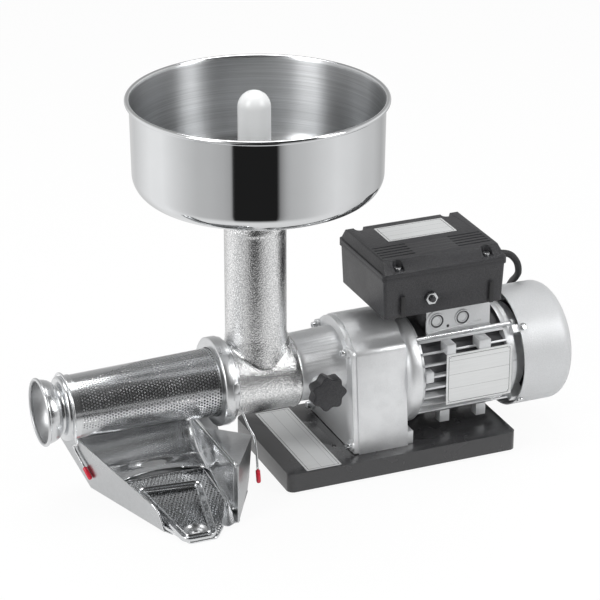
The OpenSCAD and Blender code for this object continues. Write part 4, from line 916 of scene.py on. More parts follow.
class PRESS_OT_hopper(bpy.types.Operator):
    """Spins the hopper bowl with its rolled rim and its collar, and the pestle"""

    bl_idname = "press.hopper"
    bl_label = "Hopper and pestle"

    def execute(self, context):
        t = HOPPER_SHEET_MM
        centre = spot(HOPPER_SHIFT_MM, 0, 0)
        bend_z = HOPPER_BASE_MM + ROUND_MM
        corner = [(WALL_LOW_MM - ROUND_MM + ROUND_MM * math.cos(a), bend_z + ROUND_MM * math.sin(a))
                  for a in [math.radians(-90 + 90 * i / 16) for i in range(17)]]
        inner_r = ROUND_MM - t
        inside = [(WALL_LOW_MM - ROUND_MM + inner_r * math.cos(a), bend_z + inner_r * math.sin(a))
                  for a in [math.radians(-90 * i / 16) for i in range(17)]]
        bead_z = HOPPER_TOP_MM - BEAD_MM
        bead_r = RIM_MM - BEAD_MM
        bead = [(bead_r + BEAD_MM * math.cos(a), bead_z + BEAD_MM * math.sin(a))
                for a in [math.radians(-140 + 290 * i / 20) for i in range(21)]]
        profile = ([(COLLAR_MM + 3, HOPPER_BASE_MM)] + corner + [(WALL_TOP_MM - 0.1, bead_z - 6)] + bead
                   + [(WALL_TOP_MM - t, bead_z - 2)] + inside + [(COLLAR_MM + 3, HOPPER_BASE_MM + t)])
        bowl = turned("hopper_bowl", [(r * MM, z * MM) for r, z in profile], centre, (0, 0, 1), 256, True)
        finish_piece(bowl, "Bowl outside", "bowl", "steel_brushed", "hopper")
        bowl.data.materials.append(bpy.data.materials["Bowl inside"])
        for face in bowl.data.polygons:
            out = face.center - centre
            inward = face.normal.x * out.x + face.normal.y * out.y < 0
            deep = (out.x ** 2 + out.y ** 2) ** 0.5 < (WALL_TOP_MM - 0.2) * MM and face.center.z < bead_z * MM
            if deep and (inward or face.normal.z > 0.5):
                face.material_index = 1
        sharp_edges(bowl, 50)
        ledge = [(FEED_TOP_MM - 12), FEED_TOP_MM, FEED_TOP_MM + 2, HOPPER_BASE_MM + t]
        c = COLLAR_MM
        collar_profile = [(c - t, ledge[0]), (c, ledge[0]), (c, ledge[1]), (c + 3.3, ledge[1]), (c + 3.3, ledge[2]),
                          (c + 0.6, ledge[2] + 0.4), (c, ledge[2] + 1), (c, HOPPER_BASE_MM - 4),
                          (c + 1.2, HOPPER_BASE_MM - 1.2), (c + 4, HOPPER_BASE_MM), (c + 4, ledge[3]),
                          (c + 0.6, HOPPER_BASE_MM), (c - t, HOPPER_BASE_MM - 3)]
        collar = turned("hopper_collar", [(r * MM, z * MM) for r, z in collar_profile], spot(0, 0, 0), (0, 0, 1),
                        128, True)
        sharp_edges(collar, 50)
        finish_piece(collar, "Bowl outside", "bowl", "steel_brushed")
        dress("pestle", "White plastic", 50)
        return {"FINISHED"}


# Castings


class PRESS_OT_castings(bpy.types.Operator):
    """Rounds the feed casting as one blended skin, and dresses the clamp ring"""

    bl_idname = "press.castings"
    bl_label = "Castings"

    def execute(self, context):
        body = merged_copy("feed_body", "feed_casting", 32)
        skin = body.modifiers.new("Skin", "REMESH")
        skin.mode = "VOXEL"
        skin.voxel_size = 0.0015
        soft = body.modifiers.new("Soft", "SMOOTH")
        soft.factor = 0.5
        soft.iterations = 5
        apply_modifiers(body)
        sharp_edges(body, 60)
        finish_piece(body, "Tinned casting", "machine", "cast_white", "feed_body")
        dress("clamp_ring", "Turned tin", 30, 0.0006)
        return {"FINISHED"}


# Perforated cone and strainer floor


def node_tree(name, inputs):
    """Geometry tree with named inputs after its geometry; returns it, its input sockets and its output node."""
    tree = bpy.data.node_groups.new(name, "GeometryNodeTree")
    tree.is_modifier = True
    tree.interface.new_socket("Geometry", in_out="INPUT", socket_type="NodeSocketGeometry")
    for label, kind, value in inputs:
        socket = tree.interface.new_socket(label, in_out="INPUT", socket_type="NodeSocket" + kind)
        if value is not None:
            socket.default_value = value
    tree.interface.new_socket("Geometry", in_out="OUTPUT", socket_type="NodeSocketGeometry")
    return tree, tree.nodes.new("NodeGroupInput").outputs, tree.nodes.new("NodeGroupOutput")


def close_tree(tree, geometry, material, result):
    """Ends a geometry tree in real meshes with their material."""
    real = put(tree, "GeometryNodeRealizeInstances", Geometry=geometry).outputs[0]
    coloured = put(tree, "GeometryNodeSetMaterial", Geometry=real, Material=material).outputs[0]
    tree.links.new(coloured, result.inputs[0])


def run_tree(piece, tree, **values):
    """Adds a tree to a piece with its inputs set by name."""
    step = piece.modifiers.new(tree.name, "NODES")
    step.node_group = tree
    for item in tree.interface.items_tree:
        key = item.name.replace(" ", "_")
        if item.in_out == "INPUT" and key in values:
            step[item.identifier] = values[key]


def perforated_tree():
    """Turns a lattice of triangles into cells, and opens a hole in each cell whose lattice point is marked open."""
    tree, source, result = node_tree("Perforated Sheet",
                                     [("Hole Share", "Float", 0.55), ("Material", "Material", None)])
    cells = put(tree, "GeometryNodeDualMesh", Mesh=source["Geometry"], Keep_Boundaries=True).outputs[0]
    marked = put(tree, "GeometryNodeInputNamedAttribute", {"data_type": "FLOAT"}, Name="open").outputs[0]
    chosen = put(tree, "FunctionNodeCompare", {"data_type": "FLOAT", "operation": "GREATER_THAN"}, A=marked,
                 B=0.5).outputs[0]
    ring = put(tree, "GeometryNodeExtrudeMesh", {"mode": "FACES"}, Mesh=cells, Selection=chosen, Offset_Scale=0.0,
               Individual=True)
    shrunk = put(tree, "GeometryNodeScaleElements", {"domain": "FACE"}, Geometry=ring.outputs["Mesh"],
                 Selection=ring.outputs["Top"], Scale=source["Hole Share"]).outputs[0]
    opened = put(tree, "GeometryNodeDeleteGeometry", {"domain": "FACE", "mode": "ONLY_FACE"}, Geometry=shrunk,
                 Selection=ring.outputs["Top"]).outputs[0]
    close_tree(tree, opened, source["Material"], result)
    return tree


def lattice(name, points, faces, marks):
    """Lattice mesh whose points carry the mark open."""
    piece = new_piece(name, points, faces)
    mark = piece.data.attributes.new("open", "FLOAT", "POINT")
    mark.data.foreach_set("value", [float(m) for m in marks])
    return piece


def perforate(piece, share, thickness, material):
    """Runs the perforated tree on a lattice and gives the sheet its thickness."""
    tree = bpy.data.node_groups.get("Perforated Sheet") or perforated_tree()
    run_tree(piece, tree, Hole_Share=share, Material=bpy.data.materials[material])
    solid = piece.modifiers.new("Sheet", "SOLIDIFY")
    solid.thickness = thickness
    solid.offset = -1
    apply_modifiers(piece)
    sharp_edges(piece, 40)


# The cone's ends along the machine with their radii, the plain lengths at its two ends, in millimetres, and its sheet
CONE_SMALL_R = 35.0
CONE_BIG_R = 38.5
CONE_FROM = -226.0
CONE_TO = -50.5
CONE_SLEEVE = -214.5
CONE_PLAIN = 4
CONE_SHEET = 0.0008
# Plain strips in degrees round the cone: the seam above, whose lower edge climbs towards the machine, and the foot
SEAM_LOW, SEAM_CLIMB, SEAM_REACH, SEAM_HIGH = 67, 48, 0.63, 125
FOOT_LOW, FOOT_HIGH, FOOT_FALL = -75, -21, 26
# Height of a lattice's rows against its pitch
ROW_SHARE = 0.866
OUTLET_THROAT_R = 0.024


class PRESS_OT_filter(bpy.types.Operator):
    """Rolls the perforated cone with its plain seam strips, and dresses the pulp outlet"""

    bl_idname = "press.filter"
    bl_label = "Perforated cone"

    def execute(self, context):
        sizes = context.scene.press_sizes
        pitch = sizes.hole_pitch / MM * 1.0
        count = round(2 * math.pi * (CONE_SMALL_R + CONE_BIG_R) / 2 / pitch)
        rows = round((CONE_TO - CONE_FROM) / (pitch * ROW_SHARE))
        points, faces, marks = [], [], []
        for i in range(rows + 1):
            x = CONE_FROM + (CONE_TO - CONE_FROM) * i / rows
            share = (x - CONE_SLEEVE) / (CONE_TO - CONE_SLEEVE)
            radius = CONE_SMALL_R + (CONE_BIG_R - CONE_SMALL_R) * i / rows
            for k in range(count):
                turn = 2 * math.pi * (k + 0.5 * (i % 2)) / count
                height = AXIS_Z + radius * MM * math.sin(turn)
                points.append(spot(x, -radius * math.cos(turn), 0) + Vector((0, 0, height)))
                rise = (math.degrees(turn) + 180) % 360 - 180
                seam = SEAM_LOW + SEAM_CLIMB * min(max(share, 0) / SEAM_REACH, 1) < rise < SEAM_HIGH
                foot = FOOT_LOW < rise < FOOT_HIGH - FOOT_FALL * share
                marks.append(not seam and not foot and CONE_SLEEVE < x < CONE_TO - CONE_PLAIN)
        for i in range(rows):
            for k in range(count):
                n = (k + 1) % count
                a, b, c, d = i * count + k, i * count + n, (i + 1) * count + k, (i + 1) * count + n
                faces += [(a, b, c), (b, d, c)] if i % 2 == 0 else [(a, b, d), (a, d, c)]
        screen = lattice("cone_screen", points, faces, marks)
        tidy_mesh(screen, 1e-7)
        perforate(screen, sizes.hole_share, CONE_SHEET, "Perforated steel")
        finish_piece(screen, "Perforated steel", "machine", "steel_brushed", "filter_cone")
        outlet = dress("pulp_outlet", "Outlet steel", 35)
        outlet.data.materials.append(bpy.data.materials["Outlet inside"])
        for face in outlet.data.polygons:
            out = Vector((0, face.center.y, face.center.z - AXIS_Z))
            if face.normal.dot(out) < 0 or out.length < OUTLET_THROAT_R:
                face.material_index = 1
        return {"FINISHED"}


# Juice chute

# Left panel: its place where the feed tube's axis is, and its slant; then the right wall, in millimetres
LEFT_PANEL = (-199.4, -0.46)
WALL_X = -66.0
# Strainer: height under the feed tube's axis, fall towards the front, outline, plain rim, pitch and share of its holes
STRAIN_ZERO = 17.2
STRAIN_FALL = 0.105
STRAIN_OUTLINE = [(-190.5, -9), (-68.5, -9), (-68.5, -79), (-90, -125), (-103, -141.6), (-134, -141.6)]
STRAIN_RIM = 1.6
STRAIN_PITCH = 4.4
STRAIN_SHARE = 0.56
STRAIN_SHEET = 0.001
STRAIN_START = (-196, -4)
STRAIN_SPAN = (130, 140)
FRAME_LINE = [(-153, -35), (-86.5, -41), (-105, -137.5), (-136.5, -137.5)]
DRAIN = (-121, -126.3)
DRAIN_R = 15.6
# Deflector's wing: its lower edge as (depth, height), its top, its front end and the corner it leaves from
WING_LOW = [(2, 28.5), (-17, 28.5), (-39, 21), (-53, 15), (-79, 10.5), (-100, 8)]
WING_TOP = 64.4
WING_FRONT = 100
CORNER_R = 12.6
# Deflector's lip: how far it bows back, how fast that falls off from its middle, and where the bow starts and is whole
LIP_BOW, LIP_CURVE, LIP_MIDDLE = 6, 0.005, -122
LIP_START, LIP_BLEND = 9, 10
# Gaps beside the deflector, and the swell of its back
PANEL_GAP, WALL_GAP = 1.6, 1.4
SWELL, SWELL_TOP, SWELL_DEPTH = 0.5, 44, 36


def left_x(y):
    """Place of the left panel along the machine at a depth."""
    return LEFT_PANEL[0] + LEFT_PANEL[1] * y


def strain_h(y):
    """Height of the strainer's sheet at a depth."""
    return STRAIN_ZERO + STRAIN_FALL * y


def between(table, at):
    """Height read off a falling table of (place, height)."""
    places = [p for p, _ in reversed(table)]
    heights = [h for _, h in reversed(table)]
    return float(np.interp(at, places, heights))


def lip_arch(x):
    """How far the deflector's lip bows back at a place along it."""
    return LIP_BOW - LIP_CURVE * (x - LIP_MIDDLE) ** 2


def deflector_profile():
    """Steep back, then a soft crease into the flat lip, as (depth, height)."""
    back = [(44, 66.7), (36, 58.1), (28, 49.5), (20, 40.9), (13, 33.6)]
    lip = [(8.6, 29.6), (7, 28.6), (2, 25.2), (-3, 22.9), (-9, 21.2)]
    return [(p.x, p.y) for p in rounded([Vector((y, z, 0)) for y, z in back + lip], 4)]


class PRESS_OT_deflector(bpy.types.Operator):
    """Bends the polished deflector: a steep back, a curved lip, and a wing round the right corner"""

    bl_idname = "press.deflector"
    bl_label = "Deflector"

    def execute(self, context):
        sheet = context.scene.press_sizes.sheet
        profile = deflector_profile()
        low_z = profile[-1][1]
        rows = []
        for y, z in profile:
            drop = min(max((LIP_START - y) / LIP_BLEND, 0), 1)
            row = []
            start, end = left_x(y) + PANEL_GAP, WALL_X - WALL_GAP - CORNER_R
            for _ in range(12):
                start = left_x(y + lip_arch(start) * drop) + PANEL_GAP
            for i in range(33):
                x = start + (end - start) * i / 32
                arch = lip_arch(x) * drop
                along = min(max((SWELL_TOP - y) / SWELL_DEPTH, 0), 1)
                swell = SWELL * math.sin(math.pi * i / 32) * math.sin(math.pi * along)
                row.append(spot(x, y + arch, z + swell))
            corner_y = y + lip_arch(end) * drop
            for i in range(1, 11):
                a = math.radians(9 * i)
                row.append(spot(end + CORNER_R * math.sin(a), corner_y - CORNER_R * (1 - math.cos(a)), z))
            for i in range(1, 25):
                wing_y = corner_y - CORNER_R - (WING_FRONT + corner_y - CORNER_R) * i / 24
                low = between(WING_LOW, wing_y) * min(i / 4, 1) + low_z * (1 - min(i / 4, 1))
                share = (z - low_z) / (profile[0][1] - low_z)
                row.append(spot(end + CORNER_R, wing_y, low + (WING_TOP - low) * share))
            rows.append(row)
        piece = grid_sheet("deflector", rows, -sheet)
        finish_piece(piece, "Drawn sheet", "machine", "steel_polished", "juice_tray")
        edge = tube("deflector_bead", [p + Vector((0, 0, -0.0002)) for p in rows[-1][28:]], 0.0011, 10)
        finish_piece(edge, "Bright edge", "machine", "steel_polished")
        return {"FINISHED"}


def framed(name, corners, profile, height):
    """Closed bar with mitred corners along a loop of (x, y), its section given as (outwards, up)."""
    count = len(corners)
    verts, faces = [], []
    for i, corner in enumerate(corners):
        here, before, after = Vector(corner), Vector(corners[i - 1]), Vector(corners[(i + 1) % count])
        first, second = (here - before).normalized(), (after - here).normalized()
        out = Vector((first.y + second.y, -first.x - second.x)).normalized()
        stretch = 1 / max(out.dot(Vector((first.y, -first.x))), 0.3)
        for across, up in profile:
            place = here + out * across * stretch
            verts.append(spot(place.x, place.y, height(place.y) + up))
    size = len(profile)
    for i in range(count):
        a, b = i * size, (i + 1) % count * size
        for k in range(size):
            n = (k + 1) % size
            faces.append((a + k, b + k, b + n, a + n))
    piece = new_piece(name, verts, faces)
    tidy_mesh(piece)
    return piece


def round_corners(corners, radius, steps=6):
    """Loop with its corners drawn round."""
    loop = []
    count = len(corners)
    for i, corner in enumerate(corners):
        here, before, after = Vector(corner), Vector(corners[i - 1]), Vector(corners[(i + 1) % count])
        first, second = (before - here).normalized(), (after - here).normalized()
        for k in range(steps + 1):
            t = k / steps
            a, b = here + first * radius, here + second * radius
            loop.append(tuple(a * (1 - t) ** 2 + here * 2 * t * (1 - t) + b * t * t))
    return loop


# Sections of the strainer's frame and border as (outwards, up), in millimetres
CHANNEL = [(-4.4, 0.2), (-4.4, 4.0), (-3.7, 5.0), (-2.7, 4.6), (-2.0, 2.6), (2.0, 2.6), (2.7, 4.6), (3.7, 5.0),
           (4.4, 4.0), (4.4, 0.2)]
BORDER = [(-1.0, -1.2), (-1.0, 0.4), (-0.4, 1.3), (0.4, 1.3), (1.0, 0.4), (1.0, -1.2)]
# Section of the drain's dish: steps in from its rim and heights over the sheet, in millimetres
DISH = [(0, 0.1), (-0.2, 1.8), (-1.0, 2.5), (-2.0, 2.3), (-2.9, 0.4), (-6.6, -1.3), (-9.8, -2.1), (-10.2, -3.1),
        (-9.4, -3.1), (-9.0, -2.6), (-6.0, -2.0), (-2.4, -0.5)]


class PRESS_OT_strainer(bpy.types.Operator):
    """Punches the strainer's floor and sets its raised frame and its drain on it"""

    bl_idname = "press.strainer"
    bl_label = "Strainer"

    def execute(self, context):
        pitch = STRAIN_PITCH * 1.0
        step = pitch * ROW_SHARE
        columns, rows = int(STRAIN_SPAN[0] / pitch), int(STRAIN_SPAN[1] / step)
        points, marks, faces = [], [], []
        for i in range(rows + 1):
            y = STRAIN_START[1] - step * i
            for k in range(columns + 1):
                x = STRAIN_START[0] + pitch * (k + 0.5 * (i % 2))
                points.append(spot(x, y, strain_h(y)))
                marks.append(self.inside(x, y, STRAIN_RIM) and math.dist((x, y), DRAIN) > DRAIN_R + 1)
        wide = columns + 1
        for i in range(rows):
            for k in range(columns):
                a, b, c, d = i * wide + k, i * wide + k + 1, (i + 1) * wide + k, (i + 1) * wide + k + 1
                faces += [(a, c, b), (b, c, d)] if i % 2 == 0 else [(a, d, b), (a, c, d)]
        floor = lattice("strainer_floor", points, faces, marks)
        self.cut(floor)
        perforate(floor, STRAIN_SHARE, STRAIN_SHEET, "Perforated steel")
        finish_piece(floor, "Perforated steel", "machine", "steel_brushed", "strainer_tray")
        frame_bar = framed("strainer_frame", round_corners(FRAME_LINE, 7), CHANNEL, strain_h)
        sharp_edges(frame_bar, 60)
        finish_piece(frame_bar, "Polished sheet", "machine", "steel_polished")
        border = framed("strainer_border", round_corners(STRAIN_OUTLINE, 3, 4), BORDER, strain_h)
        sharp_edges(border, 60)
        finish_piece(border, "Bright edge", "machine", "steel_brushed")
        dish = [((DRAIN_R + r) * MM, h * MM) for r, h in DISH]
        up = Vector((0, -STRAIN_FALL, 1)).normalized()
        drain = turned("strainer_drain", dish, spot(*DRAIN, strain_h(DRAIN[1])), up, 64, True)
        sharp_edges(drain, 60)
        # Painted shade: the drain's dish takes the darker copy of the sheet
        finish_piece(drain, "Dark sheet", "machine", "steel_polished")
        return {"FINISHED"}

    def inside(self, x, y, inset):
        """Whether a point lies within the clockwise outline, inset by some millimetres."""
        for (ax, ay), (bx, by) in zip(STRAIN_OUTLINE, STRAIN_OUTLINE[1:] + STRAIN_OUTLINE[:1]):
            side = ((bx - ax) * (y - ay) - (by - ay) * (x - ax)) / math.dist((ax, ay), (bx, by))
            if side > -inset:
                return False
        return True

    def cut(self, piece):
        """Trims the lattice to the outline, and opens it under the drain."""
        work = bmesh.new()
        work.from_mesh(piece.data)
        for (ax, ay), (bx, by) in zip(STRAIN_OUTLINE, STRAIN_OUTLINE[1:] + STRAIN_OUTLINE[:1]):
            out = Vector((-(by - ay), bx - ax, 0)).normalized()
            bmesh.ops.bisect_plane(work, geom=work.verts[:] + work.edges[:] + work.faces[:], dist=1e-7,
                                   plane_co=spot(ax, ay, 0), plane_no=out, clear_outer=True)
        gone = [v for v in work.verts if math.dist((v.co.x, v.co.y), spot(*DRAIN, 0).xy) < (DRAIN_R - 1.2) * MM]
        bmesh.ops.delete(work, geom=gone, context="VERTS")
        bmesh.ops.triangulate(work, faces=[f for f in work.faces if len(f.verts) > 3])
        bmesh.ops.recalc_face_normals(work, faces=work.faces)
        if sum(f.normal.z for f in work.faces) < 0:
            bmesh.ops.reverse_faces(work, faces=work.faces)
        work.to_mesh(piece.data)
        work.free()


# Front edge of the left panel as (depth, height), the side spout's three rows and the wall's hem, in millimetres
PANEL_EDGE = [(-90, 28.4), (-94, 26.6), (-98.5, 22.4), (-101.5, 16.6), (-104.5, 9), (-106.8, 2.6)]
SPOUT = [[(-68.2, -80, 9.6), (-80, -103, 8.2), (-92.2, -126, 7.0)],
         [(-67.8, -84, 7.6), (-76, -104, 5.6), (-84, -127.5, 4.2)],
         [(-67.6, -88, 9.4), (-71, -106, 7.8), (-76.4, -127, 6.6)]]
HEM = [(19, 65.4), (-20, 66.0), (-60, 66.6), (-109, 67.2)]


class PRESS_OT_guard(bpy.types.Operator):
    """Dresses the splash guard and rounds its left panel's front edge and its right wall's hem"""

    bl_idname = "press.guard"
    bl_label = "Splash guard"

    def execute(self, context):
        guard = dress("splash_guard", "Brushed sheet", 20)
        guard.data.materials.append(bpy.data.materials["Dark sheet"])
        # Painted shade: the guard's faces turned towards +X take the darker copy of its sheet
        for face in guard.data.polygons:
            if face.normal.x > 0.6:
                face.material_index = 1
        front = [spot(left_x(y) - 0.6, y, z) for y, z in PANEL_EDGE]
        finish_piece(tube("panel_edge", rounded(front, 5), 0.0011, 10), "Bright edge", "machine", "steel_polished")
        rows = [[spot(*p) for p in rounded(row, 6)] for row in zip(*SPOUT)]
        finish_piece(grid_sheet("side_spout", rows, 0.0008), "Bright edge", "machine", "steel_polished")
        hem = [spot(WALL_X - 1.6, y, z) for y, z in HEM]
        finish_piece(tube("wall_hem", rounded(hem, 6), 0.0017, 12), "Bright edge", "machine", "steel_polished")
        return {"FINISHED"}


# Wire clips

# Each clip's wire in millimetres: its free end behind, its hoop's radius, and its way down to the red sleeve
LEFT_BACK = [(-220, 30, 74), (-224, 36, 94)]
LEFT_HOOP_R = 38.3
LEFT_DOWN = [(-224, -35, 94), (-219, -24, 82), (-215, 0, 69), (-211.2, 15.5, 59), (-204.1, -0.1, 38.6)]
RIGHT_BACK = [(-37, 40, 84), (-37.4, 43, 98)]
RIGHT_HOOP_R = 44.9
RIGHT_DOWN = [(-36, -46, 100), (-32, -56, 82), (-28, -62, 72), (-27, -66, 58), (-27.6, -72, 34.5)]


def hoop(x, radius, low, high, steps=24):
    """Part of a ring round the screw's axis, from one angle to another."""
    turns = [math.radians(low + (high - low) * i / steps) for i in range(steps + 1)]
    return [(x, radius * math.cos(t), AXIS_Z / MM + radius * math.sin(t)) for t in turns]


# Steps along a clip's sleeve and its radius there, in millimetres
SLEEVE = [(0, 1.7), (0.3, 2.3), (1.2, 2.6), (7, 2.62), (12.6, 2.6), (14.3, 2.2), (15.0, 1.3), (15.2, 0.2)]


class PRESS_OT_clips(bpy.types.Operator):
    """Bends the two spring wires and sleeves their ends in red"""

    bl_idname = "press.clips"
    bl_label = "Wire clips"

    def execute(self, context):
        radius = context.scene.press_sizes.wire / 2
        left = LEFT_BACK + hoop(-225, LEFT_HOOP_R, -14, 190) + LEFT_DOWN
        ring_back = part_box("clamp_ring")[1].x / MM - FEED_X / MM
        right = RIGHT_BACK + hoop(ring_back + 1.9, RIGHT_HOOP_R, -4, 184) + RIGHT_DOWN
        for side, points in (("left", left), ("right", right)):
            path = [spot(*p) for p in rounded(points, 4)]
            finish_piece(tube(side + "_wire", path, radius, 10), "Bright edge", "machine", "steel_polished",
                         side + "_clip")
            a, b = Vector(points[-2]), Vector(points[-1])
            along = (b - a).normalized()
            sleeve = tube(side + "_sleeve", [spot(*(b + along * (s - 0.8))) for s, _ in SLEEVE],
                          [r * MM for _, r in SLEEVE], 20)
            sharp_edges(sleeve, 60)
            finish_piece(sleeve, "Red sleeve", "machine", "red_plastic", side + "_tip")
        return {"FINISHED"}


# Gearbox, motor, electrical box and base


def rivet_tree():
    """Sets a low dome on each point of its geometry."""
    tree, source, result = node_tree("Rivets", [("Radius", "Float", 0.0018), ("Turn", "Vector", (0.0, 0.0, 0.0)),
                                                ("Material", "Material", None)])
    dome = put(tree, "GeometryNodeMeshUVSphere", Segments=20, Rings=10, Radius=source["Radius"]).outputs[0]
    flat = put(tree, "GeometryNodeTransform", Geometry=dome, Scale=(1.0, 1.0, 0.5)).outputs[0]
    placed = put(tree, "GeometryNodeInstanceOnPoints", Points=source["Geometry"], Instance=flat,
                 Rotation=source["Turn"]).outputs[0]
    close_tree(tree, placed, source["Material"], result)
    return tree


def rivets(name, places, radius, turn, body, material="Zinc plate", slot="zinc"):
    """Domes at the given places, each half sunk in its plate."""
    piece = new_piece(name, places, [])
    tree = bpy.data.node_groups.get("Rivets") or rivet_tree()
    run_tree(piece, tree, Radius=radius, Turn=turn, Material=bpy.data.materials[material])
    apply_modifiers(piece)
    sharp_edges(piece, 80)
    return finish_piece(piece, material, body, slot)


class PRESS_OT_gearbox(bpy.types.Operator):
    """Rounds the gearbox castings and the clamp knob"""

    bl_idname = "press.gearbox"
    bl_label = "Gearbox"

    def execute(self, context):
        dress("gearbox_housing", "Die casting", 32, 0.0009)
        dress("gearbox_cover", "Die casting", 32, 0.0009)
        dress("cover_screws", "Zinc plate", 32, 0.0002)
        dress("clamp_knob", "Moulded black", 28, 0.0012, 3)
        return {"FINISHED"}


def blocks(name, places, bevel):
    """Blocks with rounded edges between their opposite corners, in millimetres."""
    verts, faces = [], []
    for low, high in places:
        a = len(verts)
        verts += [spot(x, y, z) for x in (low[0], high[0]) for y in (low[1], high[1]) for z in (low[2], high[2])]
        faces += [tuple(a + k for k in quad) for quad in
                  [(0, 1, 3, 2), (4, 6, 7, 5), (0, 4, 5, 1), (2, 3, 7, 6), (0, 2, 6, 4), (1, 5, 7, 3)]]
    piece = new_piece(name, verts, faces)
    tidy_mesh(piece)
    edge = piece.modifiers.new("Edge", "BEVEL")
    edge.width = bevel
    edge.segments = 2
    apply_modifiers(piece)
    sharp_edges(piece, 40)
    return piece


# Terminal pad: where the casting's pad was drawn along Y, its lower end over the motor's axis, the line between
# its face and its sides, its new face and the step to its sides, in metres
PAD_DRAWN = (-0.0423, -0.0377)
PAD_LOW = 0.0195
PAD_SPLIT = -0.0385
PAD_FACE = -0.034
PAD_STEP = 0.004
PAD_MM = PAD_FACE / MM
FIN_HEIGHT = 0.0078
PLATE_RIVET_INSET = 0.0035
# Knock-outs: their middles and section in millimetres, and the radii of their groove, which takes painted shade, in
# metres
KNOCK_OUTS = [(205.9, 159), (238.1, 158.6)]
KNOCK_RING = [(0, 0.2), (4.6, 0.2), (5.2, 1.2), (6.0, 1.2), (6.4, 0.15), (7.6, 0.15), (8.0, 1.5), (9.0, 1.5),
              (9.5, -0.6)]
KNOCK_GROOVE = (0.0063, 0.0078)
# Rim of the pad, which goes round the left knock-out, in millimetres
PAD_RIM = [(262, 150.5), (228, 147.6), (196, 144.8), (193.3, 147)]
PAD_ARCH = 12.6
PAD_HOLE = (220.3, 150.4)
# The nameplate's two seats, the boss beside it and the strap at the cowl, by opposite corners in millimetres
LUGS = [((206.5, -62, 127), (218, -44, 140)), ((246.6, -62, 127), (261.6, -44, 139)),
        ((181, -62.6, 97), (191, -50, 110)), ((289, -58.6, 88), (297.6, -54, 106))]


class PRESS_OT_motor(bpy.types.Operator):
    """Dresses the motor's frame, shields, cowl and rods, and rivets its nameplate"""

    bl_idname = "press.motor"
    bl_label = "Motor"

    def execute(self, context):
        dress("motor_shield", "Die casting", 32, 0.0008)
        self.frame()
        self.lugs()
        dress("fan_cowl", "Cowl paint", 32)
        dress("tie_rods", "Drawn rod", 32)
        dress("cowl_screws", "Zinc plate", 32, 0.0003)
        dress("nameplate", "Ruled nameplate", 32, 0.0003)
        low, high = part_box("nameplate")
        inset = PLATE_RIVET_INSET
        places = [Vector((x, low.y, z)) for x in (low.x + inset, high.x - inset)
                  for z in (low.z + inset, high.z - inset)]
        rivets("nameplate_rivets", places, 0.0016, (math.radians(90), 0, 0), "machine")
        return {"FINISHED"}

    def frame(self):
        """Sets the terminal pad behind the tie rods, marks its knock-outs with painted shade in their grooves, paints
        shade on the floor between the fins, and puts a dark disc of painted shade in the pad's hole.
        """
        shell = dress("motor_frame", "Motor paint", 32, 0.0003)
        low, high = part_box("motor_frame")
        for vert in shell.data.vertices:
            if PAD_DRAWN[0] < vert.co.y < PAD_DRAWN[1] and vert.co.z > MOTOR_Z + PAD_LOW:
                vert.co.y = PAD_FACE if vert.co.y < PAD_SPLIT else PAD_FACE + PAD_STEP
        # Painted shade: faces below the fins' tips, short of the frame's back end, take the near-black hollow finish
        shell.data.materials.append(bpy.data.materials["Fin floor"])
        for face in shell.data.polygons:
            radius = math.hypot(face.center.y, face.center.z - MOTOR_Z)
            if radius < (high.y - low.y) / 2 - FIN_HEIGHT and face.center.x < high.x - 0.001:
                face.material_index = 1
        for i, (x, z) in enumerate(KNOCK_OUTS):
            disc = turned("knock_out_%d" % i, [(r * MM, h * MM) for r, h in KNOCK_RING], spot(x, PAD_MM, z),
                          (0, -1, 0), 48)
            sharp_edges(disc, 50)
            finish_piece(disc, "Motor paint", "machine", "frame_grey")
            # Painted shade in each knock-out's groove
            disc.data.materials.append(bpy.data.materials["Fin floor"])
            for face in disc.data.polygons:
                if KNOCK_GROOVE[0] < math.dist(face.center.xz, spot(x, 0, z).xz) < KNOCK_GROOVE[1]:
                    face.material_index = 1
        x, z = KNOCK_OUTS[0]
        arch = [(x - PAD_ARCH * math.cos(math.radians(a)), z + PAD_ARCH * math.sin(math.radians(a)))
                for a in range(0, 91, 10)]
        rim = tube("pad_rim", [spot(x, PAD_MM, z) for x, z in PAD_RIM + arch], 0.0009, 8)
        finish_piece(rim, "Motor paint", "machine", "frame_grey")
        # Painted shade: a near-black disc in the Rubber finish stands for the dark inside of the pad's hole
        x, z = PAD_HOLE
        hole_shade = turned("pad_hole", [(0, 0.0001), (0.0017, 0.0001), (0.0021, -0.0004)], spot(x, PAD_MM, z),
                     (0, -1, 0), 24)
        finish_piece(hole_shade, "Rubber", "machine", "frame_grey")

    def lugs(self):
        """Casts the nameplate's two seats, the boss beside it and the strap at the cowl."""
        finish_piece(blocks("motor_lugs", LUGS, 0.0012), "Motor paint", "machine", "frame_grey")


# Slots in the box's front, drawn as near-black blocks of painted shade: their left edges, width, and heights from and
# to, in millimetres
SLOT_X = (148.2, 257.2)
SLOT_W = 5
SLOT_Z = (184.2, 209.5)


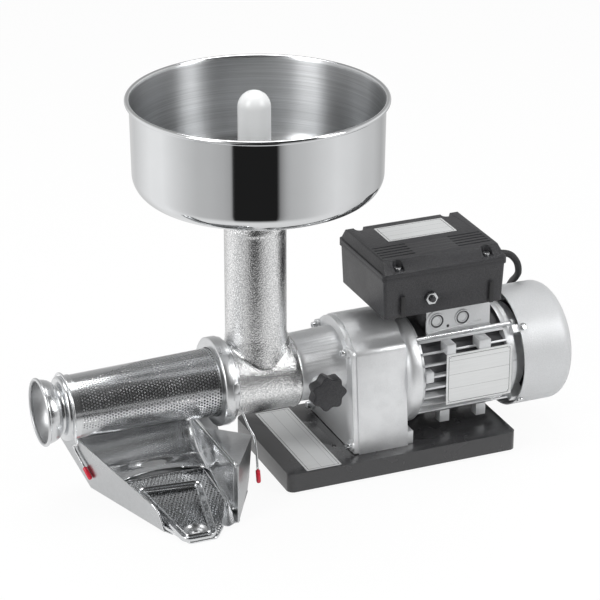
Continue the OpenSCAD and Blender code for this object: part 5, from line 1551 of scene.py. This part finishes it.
class PRESS_OT_box(bpy.types.Operator):
    """Rounds the electrical box, its lid and its reset button"""

    bl_idname = "press.box"
    bl_label = "Electrical box"

    def execute(self, context):
        dress("electrical_box", "Moulded black", 32, 0.0006)
        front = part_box("electrical_box")[0].y / MM
        # Painted shade: each slot is a near-black block in the Rubber finish, standing for the dark inside of the slot
        slots = [((x, front - 0.05, SLOT_Z[0]), (x + SLOT_W, front + 1, SLOT_Z[1])) for x in SLOT_X]
        finish_piece(blocks("box_slots", slots, 0.0004), "Rubber", "machine", "black_plastic")
        dress("box_lid", "Moulded black", 32, 0.0006)
        dress("lid_screws", "Zinc plate", 32, 0.0002)
        dress("button_nut", "Zinc plate", 32, 0.0004)
        dress("reset_button", "Gloss black", 32, 0.0006)
        dress("box_label", "Ruled box_label", 32)
        return {"FINISHED"}


class PRESS_OT_base(bpy.types.Operator):
    """Rounds the base tray and its feet"""

    bl_idname = "press.base"
    bl_label = "Base"

    def execute(self, context):
        dress("base_plate", "Powder coat", 32, 0.0018, 3)
        dress("rubber_feet", "Rubber", 32, 0.0008)
        dress("base_label", "Ruled base_label", 32)
        return {"FINISHED"}


# Panel, registration and the run


class PRESS_PT_panel(bpy.types.Panel):
    """Lists the steps of the tomato press"""

    bl_label = "Tomato press"
    bl_idname = "PRESS_PT_panel"
    bl_space_type = "VIEW_3D"
    bl_region_type = "UI"
    bl_category = "Tomato Press"

    def draw(self, context):
        for group in (context.scene.press_stage, context.scene.press_finish, context.scene.press_sizes):
            box = self.layout.box()
            for key in group.__annotations__:
                box.prop(group, key)
        for step in STEPS:
            self.layout.operator("press." + step)


STEPS = ("finishes", "stage", "cord", "hopper", "castings", "filter", "deflector", "strainer", "guard", "clips",
         "gearbox", "motor", "box", "base")
CLASSES = (PressStage, PressFinish, PressSizes, PRESS_OT_finishes, PRESS_OT_stage, PRESS_OT_cord, PRESS_OT_hopper,
           PRESS_OT_castings, PRESS_OT_filter, PRESS_OT_deflector, PRESS_OT_strainer, PRESS_OT_guard, PRESS_OT_clips,
           PRESS_OT_gearbox, PRESS_OT_motor, PRESS_OT_box, PRESS_OT_base, PRESS_PT_panel)


def register():
    for item in CLASSES:
        bpy.utils.register_class(item)
    bpy.types.Scene.press_stage = PointerProperty(type=PressStage)
    bpy.types.Scene.press_finish = PointerProperty(type=PressFinish)
    bpy.types.Scene.press_sizes = PointerProperty(type=PressSizes)


def unregister():
    del bpy.types.Scene.press_stage
    del bpy.types.Scene.press_finish
    del bpy.types.Scene.press_sizes
    for item in reversed(CLASSES):
        bpy.utils.unregister_class(item)


def main():
    """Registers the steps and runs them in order."""
    register()
    for step in STEPS:
        getattr(bpy.ops.press, step)()


if __name__ == "__main__":
    main()
